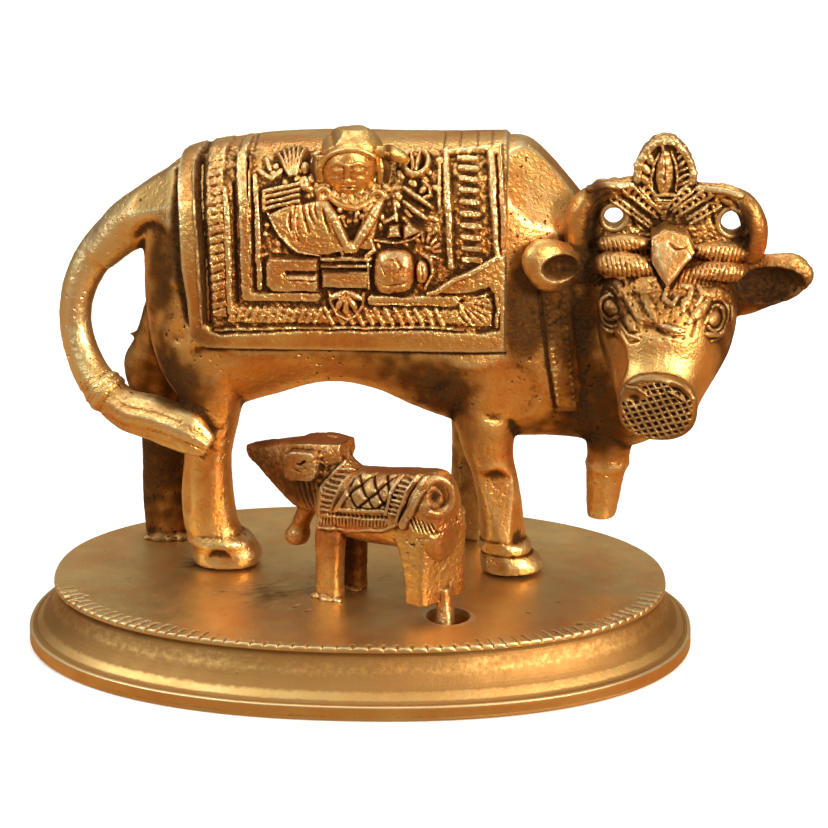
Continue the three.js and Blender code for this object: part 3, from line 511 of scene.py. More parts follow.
class Carving:
    """Relief over a surface, drawn with strokes in two coordinates of its own."""

    def __init__(self, across, up):
        self.spots = np.stack([across, up], 1)
        self.height = np.zeros(len(across))

    def near(self, points, margin):
        low = np.min(points, axis=0) - margin
        high = np.max(points, axis=0) + margin
        return np.flatnonzero(((self.spots > low) & (self.spots < high)).all(1))

    @staticmethod
    def away(spots, points):
        """Distance from a line through points, and how far along it."""
        best = np.full(len(spots), np.inf)
        share = np.zeros(len(spots))
        steps = [np.hypot(b[0] - a[0], b[1] - a[1]) for a, b in zip(points, points[1:])]
        total, run = sum(steps), 0
        for a, b, step in zip(points, points[1:], steps):
            along = (np.array(b) - a) / max(step, 1e-9)
            t = np.clip((spots - a) @ along, 0, step)
            distance = np.linalg.norm(spots - a - t[:, None] * along, axis=1)
            closer = distance < best
            best = np.where(closer, distance, best)
            share = np.where(closer, (run + t) / total, share)
            run += step
        return best, share

    def raised(self, picked, lift):
        height = self.height[picked]
        self.height[picked] = np.where(lift > 0, np.maximum(height, lift), height)

    def stroke(self, points, margin, taper):
        """The spots by a line, their distance from it, and how full the stroke is there."""
        points = np.asarray(points, float)
        picked = self.near(points, margin)
        distance, share = self.away(self.spots[picked], points)
        return picked, distance, 1 - taper * np.abs(2 * share - 1) ** 2

    def oval(self, at, radii, margin, turn):
        """The spots by an oval, and their places in shares of its radii."""
        picked = self.near(np.array([at, at], float), margin * max(radii))
        away = self.spots[picked] - at
        c, s = np.cos(turn), np.sin(turn)
        a = (c * away[:, 0] + s * away[:, 1]) / radii[0]
        b = (c * away[:, 1] - s * away[:, 0]) / radii[1]
        return picked, a, b

    def ridge(self, points, width, rise, flat=0.35, taper=0):
        picked, distance, slim = self.stroke(points, width, taper)
        edge = np.clip((distance / (width / 2 * slim) - flat) / (1 - flat), 0, 1)
        self.raised(picked, rise * slim * np.sqrt(1 - edge**2))

    def groove(self, points, width, depth, taper=0):
        picked, distance, slim = self.stroke(points, 2 * width, taper)
        self.height[picked] -= depth * slim * np.exp(-((distance / (width / 2)) ** 2))

    def patch(self, outline, rise, edge=0.6):
        points = np.asarray(outline, float)
        picked = self.near(points, edge)
        spots = self.spots[picked]
        distance, _ = self.away(spots, np.vstack([points, points[:1]]))
        inside = np.zeros(len(spots), bool)
        for (ax, ay), (bx, by) in zip(points, np.roll(points, -1, axis=0)):
            crosses = (ay > spots[:, 1]) != (by > spots[:, 1])
            at = ax + (spots[:, 1] - ay) * (bx - ax) / (by - ay if by != ay else 1e-9)
            inside ^= crosses & (spots[:, 0] < at)
        signed = np.where(inside, distance, -distance)
        self.raised(picked, rise * soft_step(signed, -edge / 2, edge / 2))

    def dome(self, at, radii, rise, turn=0, power=2.0):
        picked, a, b = self.oval(at, radii, 1.05, turn)
        self.raised(picked, rise * np.sqrt(np.clip(1 - np.abs(a) ** power - np.abs(b) ** power, 0, 1)))

    def hollow(self, at, radii, depth, turn=0):
        picked, a, b = self.oval(at, radii, 2, turn)
        self.height[picked] -= depth * np.exp(-(a**2) - b**2)


def carved(relief, places, chosen, waver=0):
    """How far a relief, drawn in x and z, lifts the chosen part of a skin."""
    lift = np.zeros(len(places))
    shift = (lift + waver)[chosen]
    carving = Carving(places[chosen, 0] + shift, places[chosen, 2] - shift)
    relief(carving)
    lift[chosen] = carving.height
    return lift


def scattered(count):
    """Pairs of shares from 0 to 1, spread evenly but in no rows."""
    return [((k * 0.7548776662) % 1, (k * 0.5698402910) % 1) for k in range(count)]


def along_path(places, path):
    """For every place the nearest part of a path: distance, share along it, angle round it."""
    line = through(path, 160)
    points = line[:, :3]
    ways = np.gradient(points, axis=0)
    ways /= np.linalg.norm(ways, axis=1)[:, None]
    nearest = np.zeros(len(places), int)
    best = np.full(len(places), np.inf)
    for k, point in enumerate(points):
        distance = ((places - point) ** 2).sum(1)
        closer = distance < best
        best[closer] = distance[closer]
        nearest[closer] = k
    away = places - points[nearest]
    side = np.cross((0, 1, 0), ways[nearest])
    side /= np.linalg.norm(side, axis=1)[:, None]
    angle = np.arctan2(away[:, 1], (away * side).sum(1))
    return np.sqrt(best), nearest / (len(points) - 1), angle


def tail_strands(places, tail):
    """Bands at the ring and long strands combed down the tuft."""
    distance, share, angle = along_path(places, tail)
    on_tail = (distance < 6.4) & (places[:, 0] < -30) & (places[:, 1] < 3)
    tuft = soft_step(share, 0.66, 0.72) * on_tail
    strands = np.abs(np.sin(2.5 * angle + 3 * share)) ** 0.7 - 0.6
    fine = np.abs(np.sin(6.5 * angle + 5 * share)) - 0.6
    bands = np.sin((share - 0.62) * 2 * np.pi / 0.026) * np.exp(-(((share - 0.64) / 0.03) ** 2))
    return tuft * (0.34 * strands + 0.12 * fine) + 0.22 * bands * on_tail


def strap_relief(carving):
    """Two rows of studs down the strap round the neck."""
    groove, patch, dome = carving.groove, carving.patch, carving.dome
    patch([(40.4, 70), (46.4, 70), (49.6, 46), (48.6, 40), (44.6, 40), (42.6, 52)], 0.35, 0.8)
    for (x0, z0), (x1, z1) in (((41.6, 67.6), (44.6, 42.6)), ((45.2, 67.8), (48.4, 42))):
        for t in np.linspace(0, 1, 17):
            dome((x0 + t * (x1 - x0), z0 + t * (z1 - z0)), (0.62, 0.62), 0.75)
    groove([(40, 70), (42.2, 52), (44, 41)], 0.7, 0.4)


# where patina gathered on the body, and painted shade on the neck under the head, under the belly
# and the blanket's edge, and on the far legs: place, reach along each axis, and how much
BODY_DIRT_AND_SHADE = [
    ((37, -17, 65), (5.6, 8, 13), 1.5), ((44, -15, 79), (6, 6, 2.4), 0.9),
    ((-50, -11, 40), (10, 7, 5), 0.3), ((46, -15, 68), (8, 9, 13), 0.9), ((51, -14, 52), (9, 9, 16), 0.7),
    ((57, -14, 40), (9, 9, 9), 0.65), ((-41, -14, 46), (6, 6, 8), 0.85), ((-37, -17, 45), (7, 6, 7), 0.6),
    ((-44, -12, 62), (5, 7, 18), 0.62), ((-42, -15, 76), (4.4, 7, 12), 0.62),
    ((-52, -6, 44), (5, 6, 5), 0.5), ((-48, 9, 26), (11, 8.5, 34), 1.4), ((-46, 6, 60), (7, 12, 18), 0.7),
    ((25, 10, 22), (8, 8.5, 30), 0.7), ((46, -12, 35), (11, 10, 6), 0.7), ((56, -10, 31), (8, 8, 6), 0.5),
    ((22, -14, 43), (8, 9, 9), 0.45), ((31, -13, 33), (8, 8, 5), 0.3), ((18, -15, 44), (9, 8, 7), 0.6),
    ((-5, 4, 41), (30, 14, 5), 0.35), ((12, -17, 50), (16, 6, 5), 0.7), ((36, -3, 12), (5, 6, 12), 0.45),
    ((-30, -2, 14), (6, 6, 14), 0.5), ((33, -17, 3), (12, 8, 2.6), 0.3),
    ((-32, -17, 7), (12, 8, 2.5), 0.3), ((-10, -18, 54), (26, 5, 2.2), 0.35),
]
# where hands and the file have left the brass pale, and painted highlight on the back, shoulder and tail
BODY_WEAR_AND_HIGHLIGHT = [
    ((-58, -2, 74), (9, 8, 9), 0.9), ((-65, -3, 57), (5, 7, 15), 0.9), ((42, -14, 88), (7, 8, 9), 0.5),
    ((-10, -6, 98), (40, 12, 3), 0.5), ((-33, -15, 3), (7, 5, 3), 0.4), ((33, -15, 17), (4, 4, 8), 0.4),
]
# place in hundredths of the cow's height, the way the facet looks, its reach and its cut
FILED_FACETS = [
    ((42.5, -12, 90), (0.5, -0.66, 0.56), 14, 2.6), ((44, -15, 82), (0.5, -0.86, 0.1), 8, 0.8),
    ((-44, -9, 88), (-0.55, -0.5, 0.65), 9, 1.2), ((-45, -12, 74), (-0.7, -0.7, 0.1), 9, 1),
    ((-42, -16, 62), (-0.45, -0.9, 0), 8, 0.8), ((31, -14.8, 17), (0.12, -0.98, 0.1), 10, 1.3),
    ((35.6, -12.6, 18), (0.8, -0.6, 0), 11, 1.1), ((33, -19, 45), (0.2, -0.95, -0.2), 9, 0.8),
    ((22, -16, 42), (-0.4, -0.9, -0.1), 7, 0.7), ((-32, -17, 48), (-0.1, -1, 0), 9, 0.7),
    ((-34, -14, 22), (0, -1, 0), 8, 0.5), ((-38, -13, 20), (-0.75, -0.65, 0), 8, 0.5),
    ((52, -15, 52), (0.4, -0.9, 0), 9, 0.7), ((56, -15, 38), (0.5, -0.8, -0.3), 9, 0.8),
    ((32, -16, 3), (-0.35, -0.93, 0.1), 7, 1), ((-32, -15.6, 1.6), (-0.05, -0.97, 0.24), 4.4, 0.9),
    ((0, 5, 98.4), (0, -0.25, 1), 30, 0.3),
]
# line where the body was cut back along the blanket's rump edge, as z and x
CLOTH_EDGE = [(58, -36.6), (64, -37.8), (72, -38.9), (80, -39.5), (88, -39.9), (95, -40.2)]
# the trunk from rump to throat: x, top, bottom, half width and middle
TRUNK = [
    (-48.6, 77, 60, 5, 0), (-46.8, 85.5, 49, 10.5, 0), (-43, 91.3, 41, 15, 0), (-38, 94.2, 37.5, 18, 0),
    (-30, 96.2, 37, 19.3, 0), (-20, 97.7, 40, 19.6, 0), (-8, 98.4, 43.4, 19.6, 0),
    (2, 98.4, 42.4, 19.6, 0), (12, 98.4, 38.2, 19.6, 0), (22, 98.5, 34.4, 19.6, 0),
    (31, 98.8, 31.8, 19, 0), (37, 98.6, 31, 18, 0), (43, 93.5, 31, 16, 0), (50, 85.5, 30.5, 14, -1),
    (58, 78, 29.6, 13, -3.6), (66, 76, 33, 12.8, -6.8), (74, 74, 43, 10, -9.4), (80, 66, 54, 4, -11),
]


def cow_body():
    bm = bmesh.new()
    loft(bm, upright(TRUNK), 160, 220, TRUNK_SQUARENESS)
    near_hind = [
        (0.2, -31, -8.6, 7.4, 5.8), (1.2, -31, -8.6, 7.9, 6.2), (3, -30.8, -8.6, 8.2, 6.4),
        (4.6, -31.2, -8.6, 7.7, 6.1), (6, -32.2, -8.6, 7.2, 5.9), (9.3, -34.2, -8.6, 6.5, 5.5),
        (13, -34.8, -8.6, 6.2, 5.3), (19.5, -35.1, -8.6, 5.9, 5.4), (27, -34.6, -8.7, 5.5, 5.6),
        (38.7, -33.4, -9, 7, 7), (52, -33, -9, 10.6, 9.4), (66, -34, -7, 9, 9),
    ]
    far_hind = [
        (0, -47.2, 9.3, 5.4, 5.2), (10, -47.2, 9.3, 5.7, 5.4), (27, -47.4, 9.3, 5.6, 5.6),
        (42, -49, 8.6, 7.2, 6.6), (50, -46, 7, 7, 8), (62, -44, 5, 5, 7),
    ]
    near_front = [
        (0.5, 34.5, -9.4, 6.9, 6.3), (1.8, 34.8, -9.4, 7.4, 6.7), (3.4, 34.3, -9.4, 7, 6.4),
        (4.6, 33.7, -9.4, 6.2, 5.9), (7, 32.8, -9.4, 5.4, 5.3), (16, 32, -9.4, 5.1, 5.1),
        (23.3, 30.6, -9.4, 5.2, 5.2), (30, 29, -9.3, 5.9, 6), (45, 27.5, -9, 8.5, 8.6),
        (60, 28, -8, 9, 9),
    ]
    far_front = [
        (0, 25.6, 10.6, 3.4, 3.4), (3, 25.2, 10.6, 4.6, 4.6), (10, 25, 10.6, 5.2, 5.2),
        (28, 25.4, 10.2, 5.4, 5.4), (42, 26.5, 9, 8, 8), (56, 27, 7, 8, 8),
    ]
    for leg in (near_hind, far_hind, near_front, far_front):
        loft(bm, level(leg), 72, 100, LEG_SQUARENESS)
    anklets = [
        [(5.2, -32, -8.6, 7.2, 6), (6.3, -32.4, -8.6, 8, 6.6), (7.6, -33, -8.6, 7, 5.9)],
        [(5.4, 33.3, -9.4, 5.8, 5.7), (6.5, 33, -9.4, 6.5, 6.3), (7.8, 32.8, -9.4, 5.6, 5.6)],
    ]
    for ring in anklets:
        loft(bm, level(ring), 72, 12, LEG_SQUARENESS)
    peg = [(z, 33.8, -9.5, PEG_RADIUS, PEG_RADIUS) for z in (-4.2, 5)]
    loft(bm, level(peg), 32, 10)
    tail = [
        (-40, 0, 82, 7.8, 0.9), (-47, 0, 80.6, 6.4, 0.9), (-54, -0.2, 77, 5.1, 0.9),
        (-60.6, -0.8, 70.4, 4.4, 0.9), (-64.4, -1.4, 62, 3.9, 1), (-64.7, -2.6, 53, 3.8, 1),
        (-60.6, -6, 43.6, 4.3, 0.95), (-53.6, -9.6, 38, 4.8, 0.85), (-45.2, -13.4, 36.6, 5.4, 0.7),
        (-38, -16.8, 34.4, 5, 0.6), (-33.2, -17.4, 31.2, 3, 0.6),
    ]
    loft(bm, rod(tail), 64, 160)
    root = [
        ((-36, 0, 83), (0, 15.5, 0), (-1, 0, 11)), ((-42.5, 0, 82), (0, 12.8, 0), (-2.2, 0, 8.2)),
        ((-48.5, 0, 79.9), (0, 8.8, 0), (-3, 0, 5.9)), ((-54, -0.2, 76.8), (0, 6.3, 0), (-3.2, 0, 4.6)),
        ((-59.5, -0.8, 70.9), (0, 4.7, 0), (-3.2, 0, 2.8)),
    ]
    loft(bm, root, 80, 60, 2.2)
    fold = [
        (16.5, -17.4, 54.2, 0.4, 1), (20, -18.2, 52.8, 1.2, 0.8), (25, -18.4, 52.2, 1.5, 0.8),
        (30, -18, 52.8, 1.2, 0.8), (34, -16.9, 54.6, 0.5, 1),
    ]
    loft(bm, rod(fold), 32, 40)
    solder = [(-51.5, 4.6, 1.5), (-49, 4.1, 1.9), (-46.4, 4, 1.5), (-43.6, 4.6, 1.7), (-42, 6, 1.2)]
    for x, y, size in solder:
        lump = bmesh.ops.create_uvsphere(bm, u_segments=24, v_segments=12, radius=size)["verts"]
        bmesh.ops.scale(bm, vec=(1, 0.7, 0.6), verts=lump)
        bmesh.ops.translate(bm, vec=(x, y, 0.5), verts=lump)
    ring = [(-59.4, -6.8, 42.3, 4.4, 1), (-57.8, -7.6, 40.9, 5.1, 1), (-56.2, -8.4, 39.7, 4.5, 1)]
    loft(bm, rod(ring), 48, 14)
    flash = [(-47, 4, 50, 2, 1), (-51, 4, 50.4, 1.3, 1), (-54.4, 4, 51.4, 0.3, 1)]
    loft(bm, rod(flash), 24, 16)
    pendant = [
        (12.9, 55, -7, 2.9, 2.9), (13.3, 55, -7, 3.4, 3.4), (24, 55.8, -7, 4.6, 4.6),
        (25.2, 56, -7, 5.2, 5.2), (26.4, 56.2, -7, 5.2, 5.2), (27.4, 56.2, -7, 4.9, 4.9),
        (36, 56.8, -7, 6, 6),
    ]
    loft(bm, level(pendant), 56, 50)
    piece = cast(bm, "cow_body", BODY_VOXEL, relax=7)
    mesh = piece.data
    places = places_of(mesh)
    for facet in FILED_FACETS:
        filed(places, *facet)
    places, facing = settled(mesh, places, 2)
    lift = 0.12 * grain(places, 6.5, 11) + 0.06 * grain(places, 1.9, 12) + 0.06 * grain(places, 0.8, 13)
    on_strap = (facing[:, 1] < -0.2) & (places[:, 0] > 38) & (places[:, 0] < 54) & (places[:, 2] > 38)
    lift += tail_strands(places, tail) + carved(strap_relief, places, on_strap)
    pitted = soft_step(grain(places, 9, 14), 0.05, 0.5)
    pores = grain(places, 0.75, 15)
    lift -= 0.28 * soft_step(pores, 0.42, 0.62) * (0.25 + pitted)
    near_side = soft_step(-facing[:, 1], 0.1, 0.5)
    near_flank = near_side * soft_step(places[:, 2], 58, 62)
    from_edge = places[:, 0] - np.interp(places[:, 2], *np.array(CLOTH_EDGE).T)
    cut = np.exp(-((from_edge / 0.95) ** 2)) * near_flank
    foot = near_side * (np.abs(places[:, 0]) < 33)
    cut += 0.8 * np.exp(-(((places[:, 2] - 55.2 - 0.25 * grain(places, 6, 17)) / 0.6) ** 2)) * foot
    lift -= 0.8 * cut
    # turned grooves over and under the anklets of the near legs
    height = places[:, 2] + 0.2 * grain(places, 5, 18)
    front = places[:, 0] > 0
    anklet = np.exp(-(((height - 8.3) / 0.4) ** 2)) + front * np.exp(-(((height - 5.2) / 0.4) ** 2))
    anklet *= (places[:, 1] < -1.5) * (0.45 + 0.55 * front)
    lift -= 0.22 * anklet
    places += facing * (lift - 0.1)[:, None]
    # the far hind foot and its solder end on the plate
    places[:, 2] = np.where(np.abs(places[:, 0]) > 38, np.maximum(places[:, 2], 0.02), places[:, 2])
    set_places(mesh, places)
    wear_and_highlight = by_spots(places, BODY_WEAR_AND_HIGHLIGHT, 19)
    dirt_and_shade = weathered(piece, fine=6, broad=40, depth=0.12, wear_and_highlight=wear_and_highlight)
    dirt_and_shade = dirt_and_shade + 1.1 * cut + 0.35 * anklet - 0.3 * wear_and_highlight + by_spots(places, BODY_DIRT_AND_SHADE, 16)
    return finished(piece, dirt_and_shade + 0.5 * soft_step(pores, 0.5, 0.62) * pitted, BODY_TRIANGLES)


cow_brass = brass_finish(
    "cow_brass", gold=(0.80, 0.48, 0.155, 1), copper=(0.64, 0.24, 0.055, 1),
    crust=(0.022, 0.010, 0.005, 1), dull=0.38, grit=1,
)
body = cow_body()
body.data.materials.append(cow_brass)
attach(body, "root")
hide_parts("cow")

# Blanket: cast with the cow, its borders and the seated figure modelled in wax and chased with a
# blunt tool. It is one sheet over both flanks, laid out in x and in w, the way up the near flank
# and over the back, both in hundredths of the cow's height; the far flank was left plain.
BLANKET_RISE = 0.65
# its rump edge, as w and x
BLANKET_LEFT = [(50, -36.2), (56.6, -36.6), (64, -37), (73, -38), (83, -38.4), (95, -39.3), (170, -39.3)]
BLANKET_RIGHT = 33
BLANKET_FOOT = 55.6
BLANKET_LENGTH = 71.5
# the way up the near flank and over the back in fine steps, the rest in coarse ones
NEAR_WAY = 64
NEAR_STEP = 0.25
WHOLE_WAY = 113
FAR_ROWS = 70
TRUNK_MIDDLE = 68
BLANKET_TRIANGLES = 192000


def on_trunk(x, w):
    """The place on the trunk's skin at x and at the way w up the near flank."""
    rows = through(TRUNK, 400)
    top, bottom, half, mid = (np.interp(x, rows[:, 0], rows[:, k]) for k in range(1, 5))
    turn = np.linspace(-0.9, np.pi + 0.9, 500)
    places = np.empty((len(x), 3))
    for column in np.unique(np.rint(x * 2) / 2):
        picked = np.abs(x - column) <= 0.2501
        t, b, h, m = (np.interp(column, rows[:, 0], rows[:, k]) for k in range(1, 5))
        y = m - h * squared(np.cos(turn), TRUNK_SQUARENESS)
        z = (t + b) / 2 + (t - b) / 2 * squared(np.sin(turn), TRUNK_SQUARENESS)
        way = np.concatenate([[0], np.cumsum(np.hypot(np.diff(y), np.diff(z)))])
        start = np.interp(BLANKET_FOOT, z[: len(z) // 2], way[: len(z) // 2])
        angle = np.interp(w[picked] - BLANKET_FOOT + start, way, turn)
        c, s = (squared(f(angle), TRUNK_SQUARENESS) for f in (np.cos, np.sin))
        places[picked, 0] = x[picked]
        places[picked, 1] = mid[picked] - half[picked] * c
        places[picked, 2] = (top + bottom)[picked] / 2 + (top - bottom)[picked] / 2 * s
    return places


def border_relief(carving):
    """Plain band, dark groove, hatched band and ridges round the panel."""
    ridge, groove, patch, hollow = carving.ridge, carving.groove, carving.patch, carving.hollow
    patch([(-40, 118), (-34.7, 118), (-34.6, 97), (-33.7, 88), (-32.7, 76), (-32.7, 62), (-31.6, 59.6),
        (-29, 58.9), (-12, 60.2), (16.5, 60.6), (28, 60), (31.2, 60.4), (31.6, 62), (34.5, 62),
        (34.5, 54), (-40, 54)], 0.55, 0.7)
    groove([(-34.2, 98), (-33.6, 88), (-32.8, 76.4), (-32.3, 61.4)], 1.5, 0.9, 0.1)
    ridge([(-35.3, 97), (-34.7, 88), (-33.9, 76.4), (-33.3, 60.2)], 0.8, 0.85, 0.2)
    # hatched band down the rump side
    patch([(-33, 118), (-28.4, 118), (-28.7, 92), (-28.2, 85), (-28, 63), (-31, 63), (-31.4, 76),
        (-32.2, 88)], 0.42, 0.6)
    ridge([(-28.3, 90.6), (-27.6, 85.4), (-27.3, 73.4), (-27.3, 64.2)], 1.5, 0.62, 0.2)
    groove([(-26.3, 92), (-25.9, 84), (-25.7, 66.4)], 0.8, 0.55, 0.1)
    groove([(-23.7, 98), (-23.2, 90), (-22.9, 82.4)], 0.5, 0.6, 0.2)
    for k in range(17):
        w = 64.6 + 2.05 * k
        groove([(-31.6 - 0.03 * (w - 64), w - 0.6), (-28.6, w + 0.5)], 0.55, 0.2 + 0.1 * (w < 82), 0.3)
    # plain ridge, rough groove and second ridge beside the panel
    ridge([(-24.9, 99), (-24.2, 90), (-23.7, 82.4), (-23.6, 69)], 2.3, 0.66, 0.7)
    ridge([(-24.6, 112), (-24.9, 99)], 2, 0.4, 0.7)
    ridge([(-22.9, 98), (-22.5, 82.4), (-22.3, 69.8)], 0.5, 0.8)
    ridge([(-21.6, 93.4), (-20.9, 82.4), (-20.7, 69.8)], 1.25, 0.62, 0.3)
    # bar under the crossed legs, and its fellow under the pot
    ridge([(-23.6, 67.8), (-8.4, 68)], 2.2, 0.66, 0.6)
    ridge([(3.8, 67.4), (22, 67.5)], 2.3, 0.66, 0.6)
    groove([(5, 66.9), (21, 66.8)], 0.4, 0.25, 0.3)
    # hatched band along the foot, strokes leaning either way from the middle
    patch([(-27.2, 65.1), (22, 65.2), (24, 62.4), (-27.2, 61.7)], 0.3, 0.5)
    for x in (-27 + 1.7 * k for k in range(12)):
        ridge([(x - 0.5, 62.2), (x + 0.7, 65.2)], 0.95, 0.55, 0.1)
    for x in (-6.2 + 2.2 * k for k in range(12)):
        ridge([(x + 1.3, 62), (x - 0.4, 65.4)], 1.15, 0.62, 0.1)
    ridge([(-30.5, 60), (-12, 60.9), (16.5, 61.4), (23.5, 61)], 0.6, 0.66)
    for k in range(42):
        x = -29 + 1.25 * k
        hollow((x, 60.6 + 0.012 * (x + 12)), (0.28, 0.3), 0.14)
    # shoulder side: ridge, ladder, deep groove and plain band
    ridge([(19.3, 100.4), (20.1, 87.4), (20.9, 75)], 1.5, 0.66, 0.3)
    ridge([(18, 97.5), (18.2, 88)], 0.9, 0.35)
    patch([(18.4, 100.2), (31.6, 102.4), (31.4, 100.6), (19.6, 99.4)], 0.7, 0.6)
    for k in range(10):
        w = 98.4 - 2.42 * k
        x = 22.2 + 0.058 * (98.4 - w)
        ridge([(x + 0.2, w), (x + 3.7, w - 0.35)], 1.35, 0.56, 0.45)
    patch([(28.3, 101), (31.2, 101), (32, 87.2), (32.5, 75.5), (30.3, 75.5), (29.3, 87.2)], 0.62, 0.6)
    ridge([(31.1, 100.6), (32.1, 87.2), (32.7, 75.5)], 0.7, 0.85)
    # the cloth's turned-up corner, with its lip
    patch([(34, 79.5), (31.6, 77.4), (26, 73.9), (21.8, 72.3), (18.2, 69.4), (22, 69), (24.6, 69.4),
        (29, 70.6), (31.2, 68.2), (31.6, 60), (34.5, 60)], 0.75, 0.7)
    ridge([(32.5, 78.2), (26, 74), (21.6, 72.2), (17.8, 69.3), (15.9, 69)], 1.5, 1.05, 0.25, 0.3)
    # fan of veins inside the corner
    patch([(22.6, 67), (25.4, 68.6), (28.2, 68.6), (29.8, 66.6), (29.8, 61.6), (25.4, 61.6),
        (22.8, 64.6)], 0.4, 0.5)
    for k in range(7):
        angle = np.radians(-62 + 15 * k)
        groove([(22.9, 67.2), (22.9 + 7.2 * np.cos(angle), 67 + 6.2 * np.sin(angle))], 0.5, 0.3, 0.2)
    ridge([(30.6, 69), (31, 66), (30.8, 61.4)], 0.9, 0.72)
    # the borders run on over the back as faint lines, where the top was ground flat
    groove([(30.2, 99), (31, 87), (31.5, 77.5)], 0.6, 0.7, 0.2)
    for x in (-33.6, -28.6, -25.6, -22.6, 19, 22.4, 26.2, 29.4):
        groove([(x, 101), (x - 0.4, 122)], 0.45, 0.16)


def figure_relief(carving):
    """What lies round the seated figure's head: shawl, arms, crossed legs, lotus, pot, coil."""
    ridge, groove, patch = carving.ridge, carving.groove, carving.patch
    dome, hollow = carving.dome, carving.hollow
    # pleated shawl over the shoulder and chest
    patch([(-18.6, 85.6), (-14, 87.6), (-6.8, 88.8), (-4.2, 86.5), (-1, 78.6), (-6.8, 77.6),
        (-12.6, 77.9), (-15.8, 81)], 1, 0.8)
    patch([(5.8, 87.4), (3.4, 88.6), (1.6, 84.5), (-0.6, 79.2), (3.6, 78.6)], 0.8, 0.7)
    for x0, w0, x1, w1 in (
        (-12.8, 87.4, -12, 80.4), (-11.2, 88, -9.6, 82), (-9.8, 88, -8.6, 83.8), (-8.4, 88.2, -7.8, 85),
        (-13.8, 86, -13.6, 82.6), (-6.6, 87, -5.4, 82.4),
    ):
        groove([(x0, w0), ((x0 + x1) / 2 - 0.2, (w0 + w1) / 2), (x1, w1)], 0.55, 0.42, 0.4)
    ridge([(-12.4, 87.6), (-12.8, 83.4), (-11.6, 80.2)], 0.9, 1.25, 0.2, 0.4)
    ridge([(-15.2, 86.8), (-14.4, 83.2), (-12.4, 79)], 0.8, 1.15, 0.2, 0.4)
    ridge([(-18.8, 85.9), (-15.9, 81.2), (-12.4, 78.1), (-7.4, 77.4)], 0.8, 1.15, 0.2, 0.2)
    # arms that come down to joined hands
    ridge([(-6.2, 88), (-4.6, 85.4), (-2.9, 82.4), (-1.6, 78.6)], 2.5, 1.55, 0.2, 0.25)
    ridge([(5.4, 88.2), (3.4, 84.4), (0.2, 79.4)], 2.5, 1.55, 0.2, 0.25)
    ridge([(-5.2, 85), (-2.8, 85.6), (-1.6, 83.6)], 0.7, 1)
    dome((-0.8, 79.2), (2, 1.5), 1.5)
    groove([(-4.9, 84.4), (-3.6, 85.2)], 0.4, 0.25)
    groove([(4.5, 85), (3.3, 85.9)], 0.4, 0.25)
    ridge([(-4.8, 80.6), (-3, 79.2), (-2.6, 77.6)], 0.8, 1, 0.1)
    ridge([(3.6, 80.6), (4.2, 78.6), (2.6, 77.4)], 1.1, 0.95, 0.1)
    # necklace beads
    for k in range(6):
        angle = np.radians(200 + 28 * k)
        dome((-0.3 + 3 * np.cos(angle), 88 + 3.4 * np.sin(angle)), (0.7, 0.7), 1.2)
    # crossed legs with the slot between them
    patch([(-19.2, 75.4), (-18.2, 76.6), (-7.9, 76.7), (-7.9, 69.4), (-18, 69.4),
        (-19.2, 70.6)], 1.15, 0.8)
    groove([(-15, 73.4), (-8, 73.5)], 0.95, 0.95)
    groove([(-15, 72.6), (-14, 71.9), (-8.4, 71.8)], 0.35, 0.3)
    ridge([(-15.3, 73.4), (-14.6, 72.3), (-8.2, 72.3)], 0.6, 1.25)
    ridge([(-18.4, 76.1), (-8.2, 76.2)], 0.7, 1.3)
    # sash ends and seat
    ridge([(-7, 76.6), (3.4, 76.7)], 1, 1, 0.4)
    ridge([(-7, 75), (3.4, 75.1)], 0.8, 0.85, 0.4)
    patch([(-6.9, 73.7), (3, 73.8), (3, 70.4), (-6.9, 70.4)], 1.05, 0.6)
    ridge([(-6.6, 73.5), (2.8, 73.6)], 0.55, 1.22)
    ridge([(2.9, 76.8), (3.2, 70.4)], 0.7, 1.1)
    # lotus under the seat, its fat petals in a shell
    shell = [(-5.6, 69.4), (-5.2, 66.6), (-3.6, 64.2), (-1.6, 63.2), (0.4, 64.2), (1.8, 66.4), (2, 69.2)]
    ridge(shell, 0.7, 0.95, 0.2)
    for k in range(5):
        angle = np.pi * (1.12 + 0.19 * k)
        along = np.array([np.cos(angle), np.sin(angle)])
        dome(np.array([-1.8, 69.6]) + along * (2.2, 3.1), (2.5, 0.85), 1.1,
            np.arctan2(along[1] * 1.3, along[0]))
    # striped block and fan of strokes beside the head
    for k in range(4):
        ridge([(-19.4, 86.7 + 1.15 * k), (-12, 88.5 + 1.15 * k)], 0.95, 1.2, 0.3)
    ridge([(-19.5, 86.4), (-19.6, 90.2)], 0.9, 1)
    for k in range(6):
        angle = np.radians(134 - 14 * k)
        ridge([(-13.4 + 1.2 * np.cos(angle), 92.8 + 1.2 * np.sin(angle)),
            (-13.4 + 8.6 * np.cos(angle) * 0.62, 92.6 + 9.2 * np.sin(angle))], 0.95, 1.1, 0.1, 0.4)
    dome((-10.9, 92.2), (1.3, 1.6), 1.3)
    dome((-10.9, 95.6), (1, 1.4), 1.1)
    hollow((-10.9, 92.2), (0.5, 0.6), 0.6)
    ridge([(-20.6, 94.6), (-18, 93), (-16, 94.8)], 1, 0.6)
    ridge([(-19.6, 97.4), (-18.6, 95.2)], 1, 0.6)
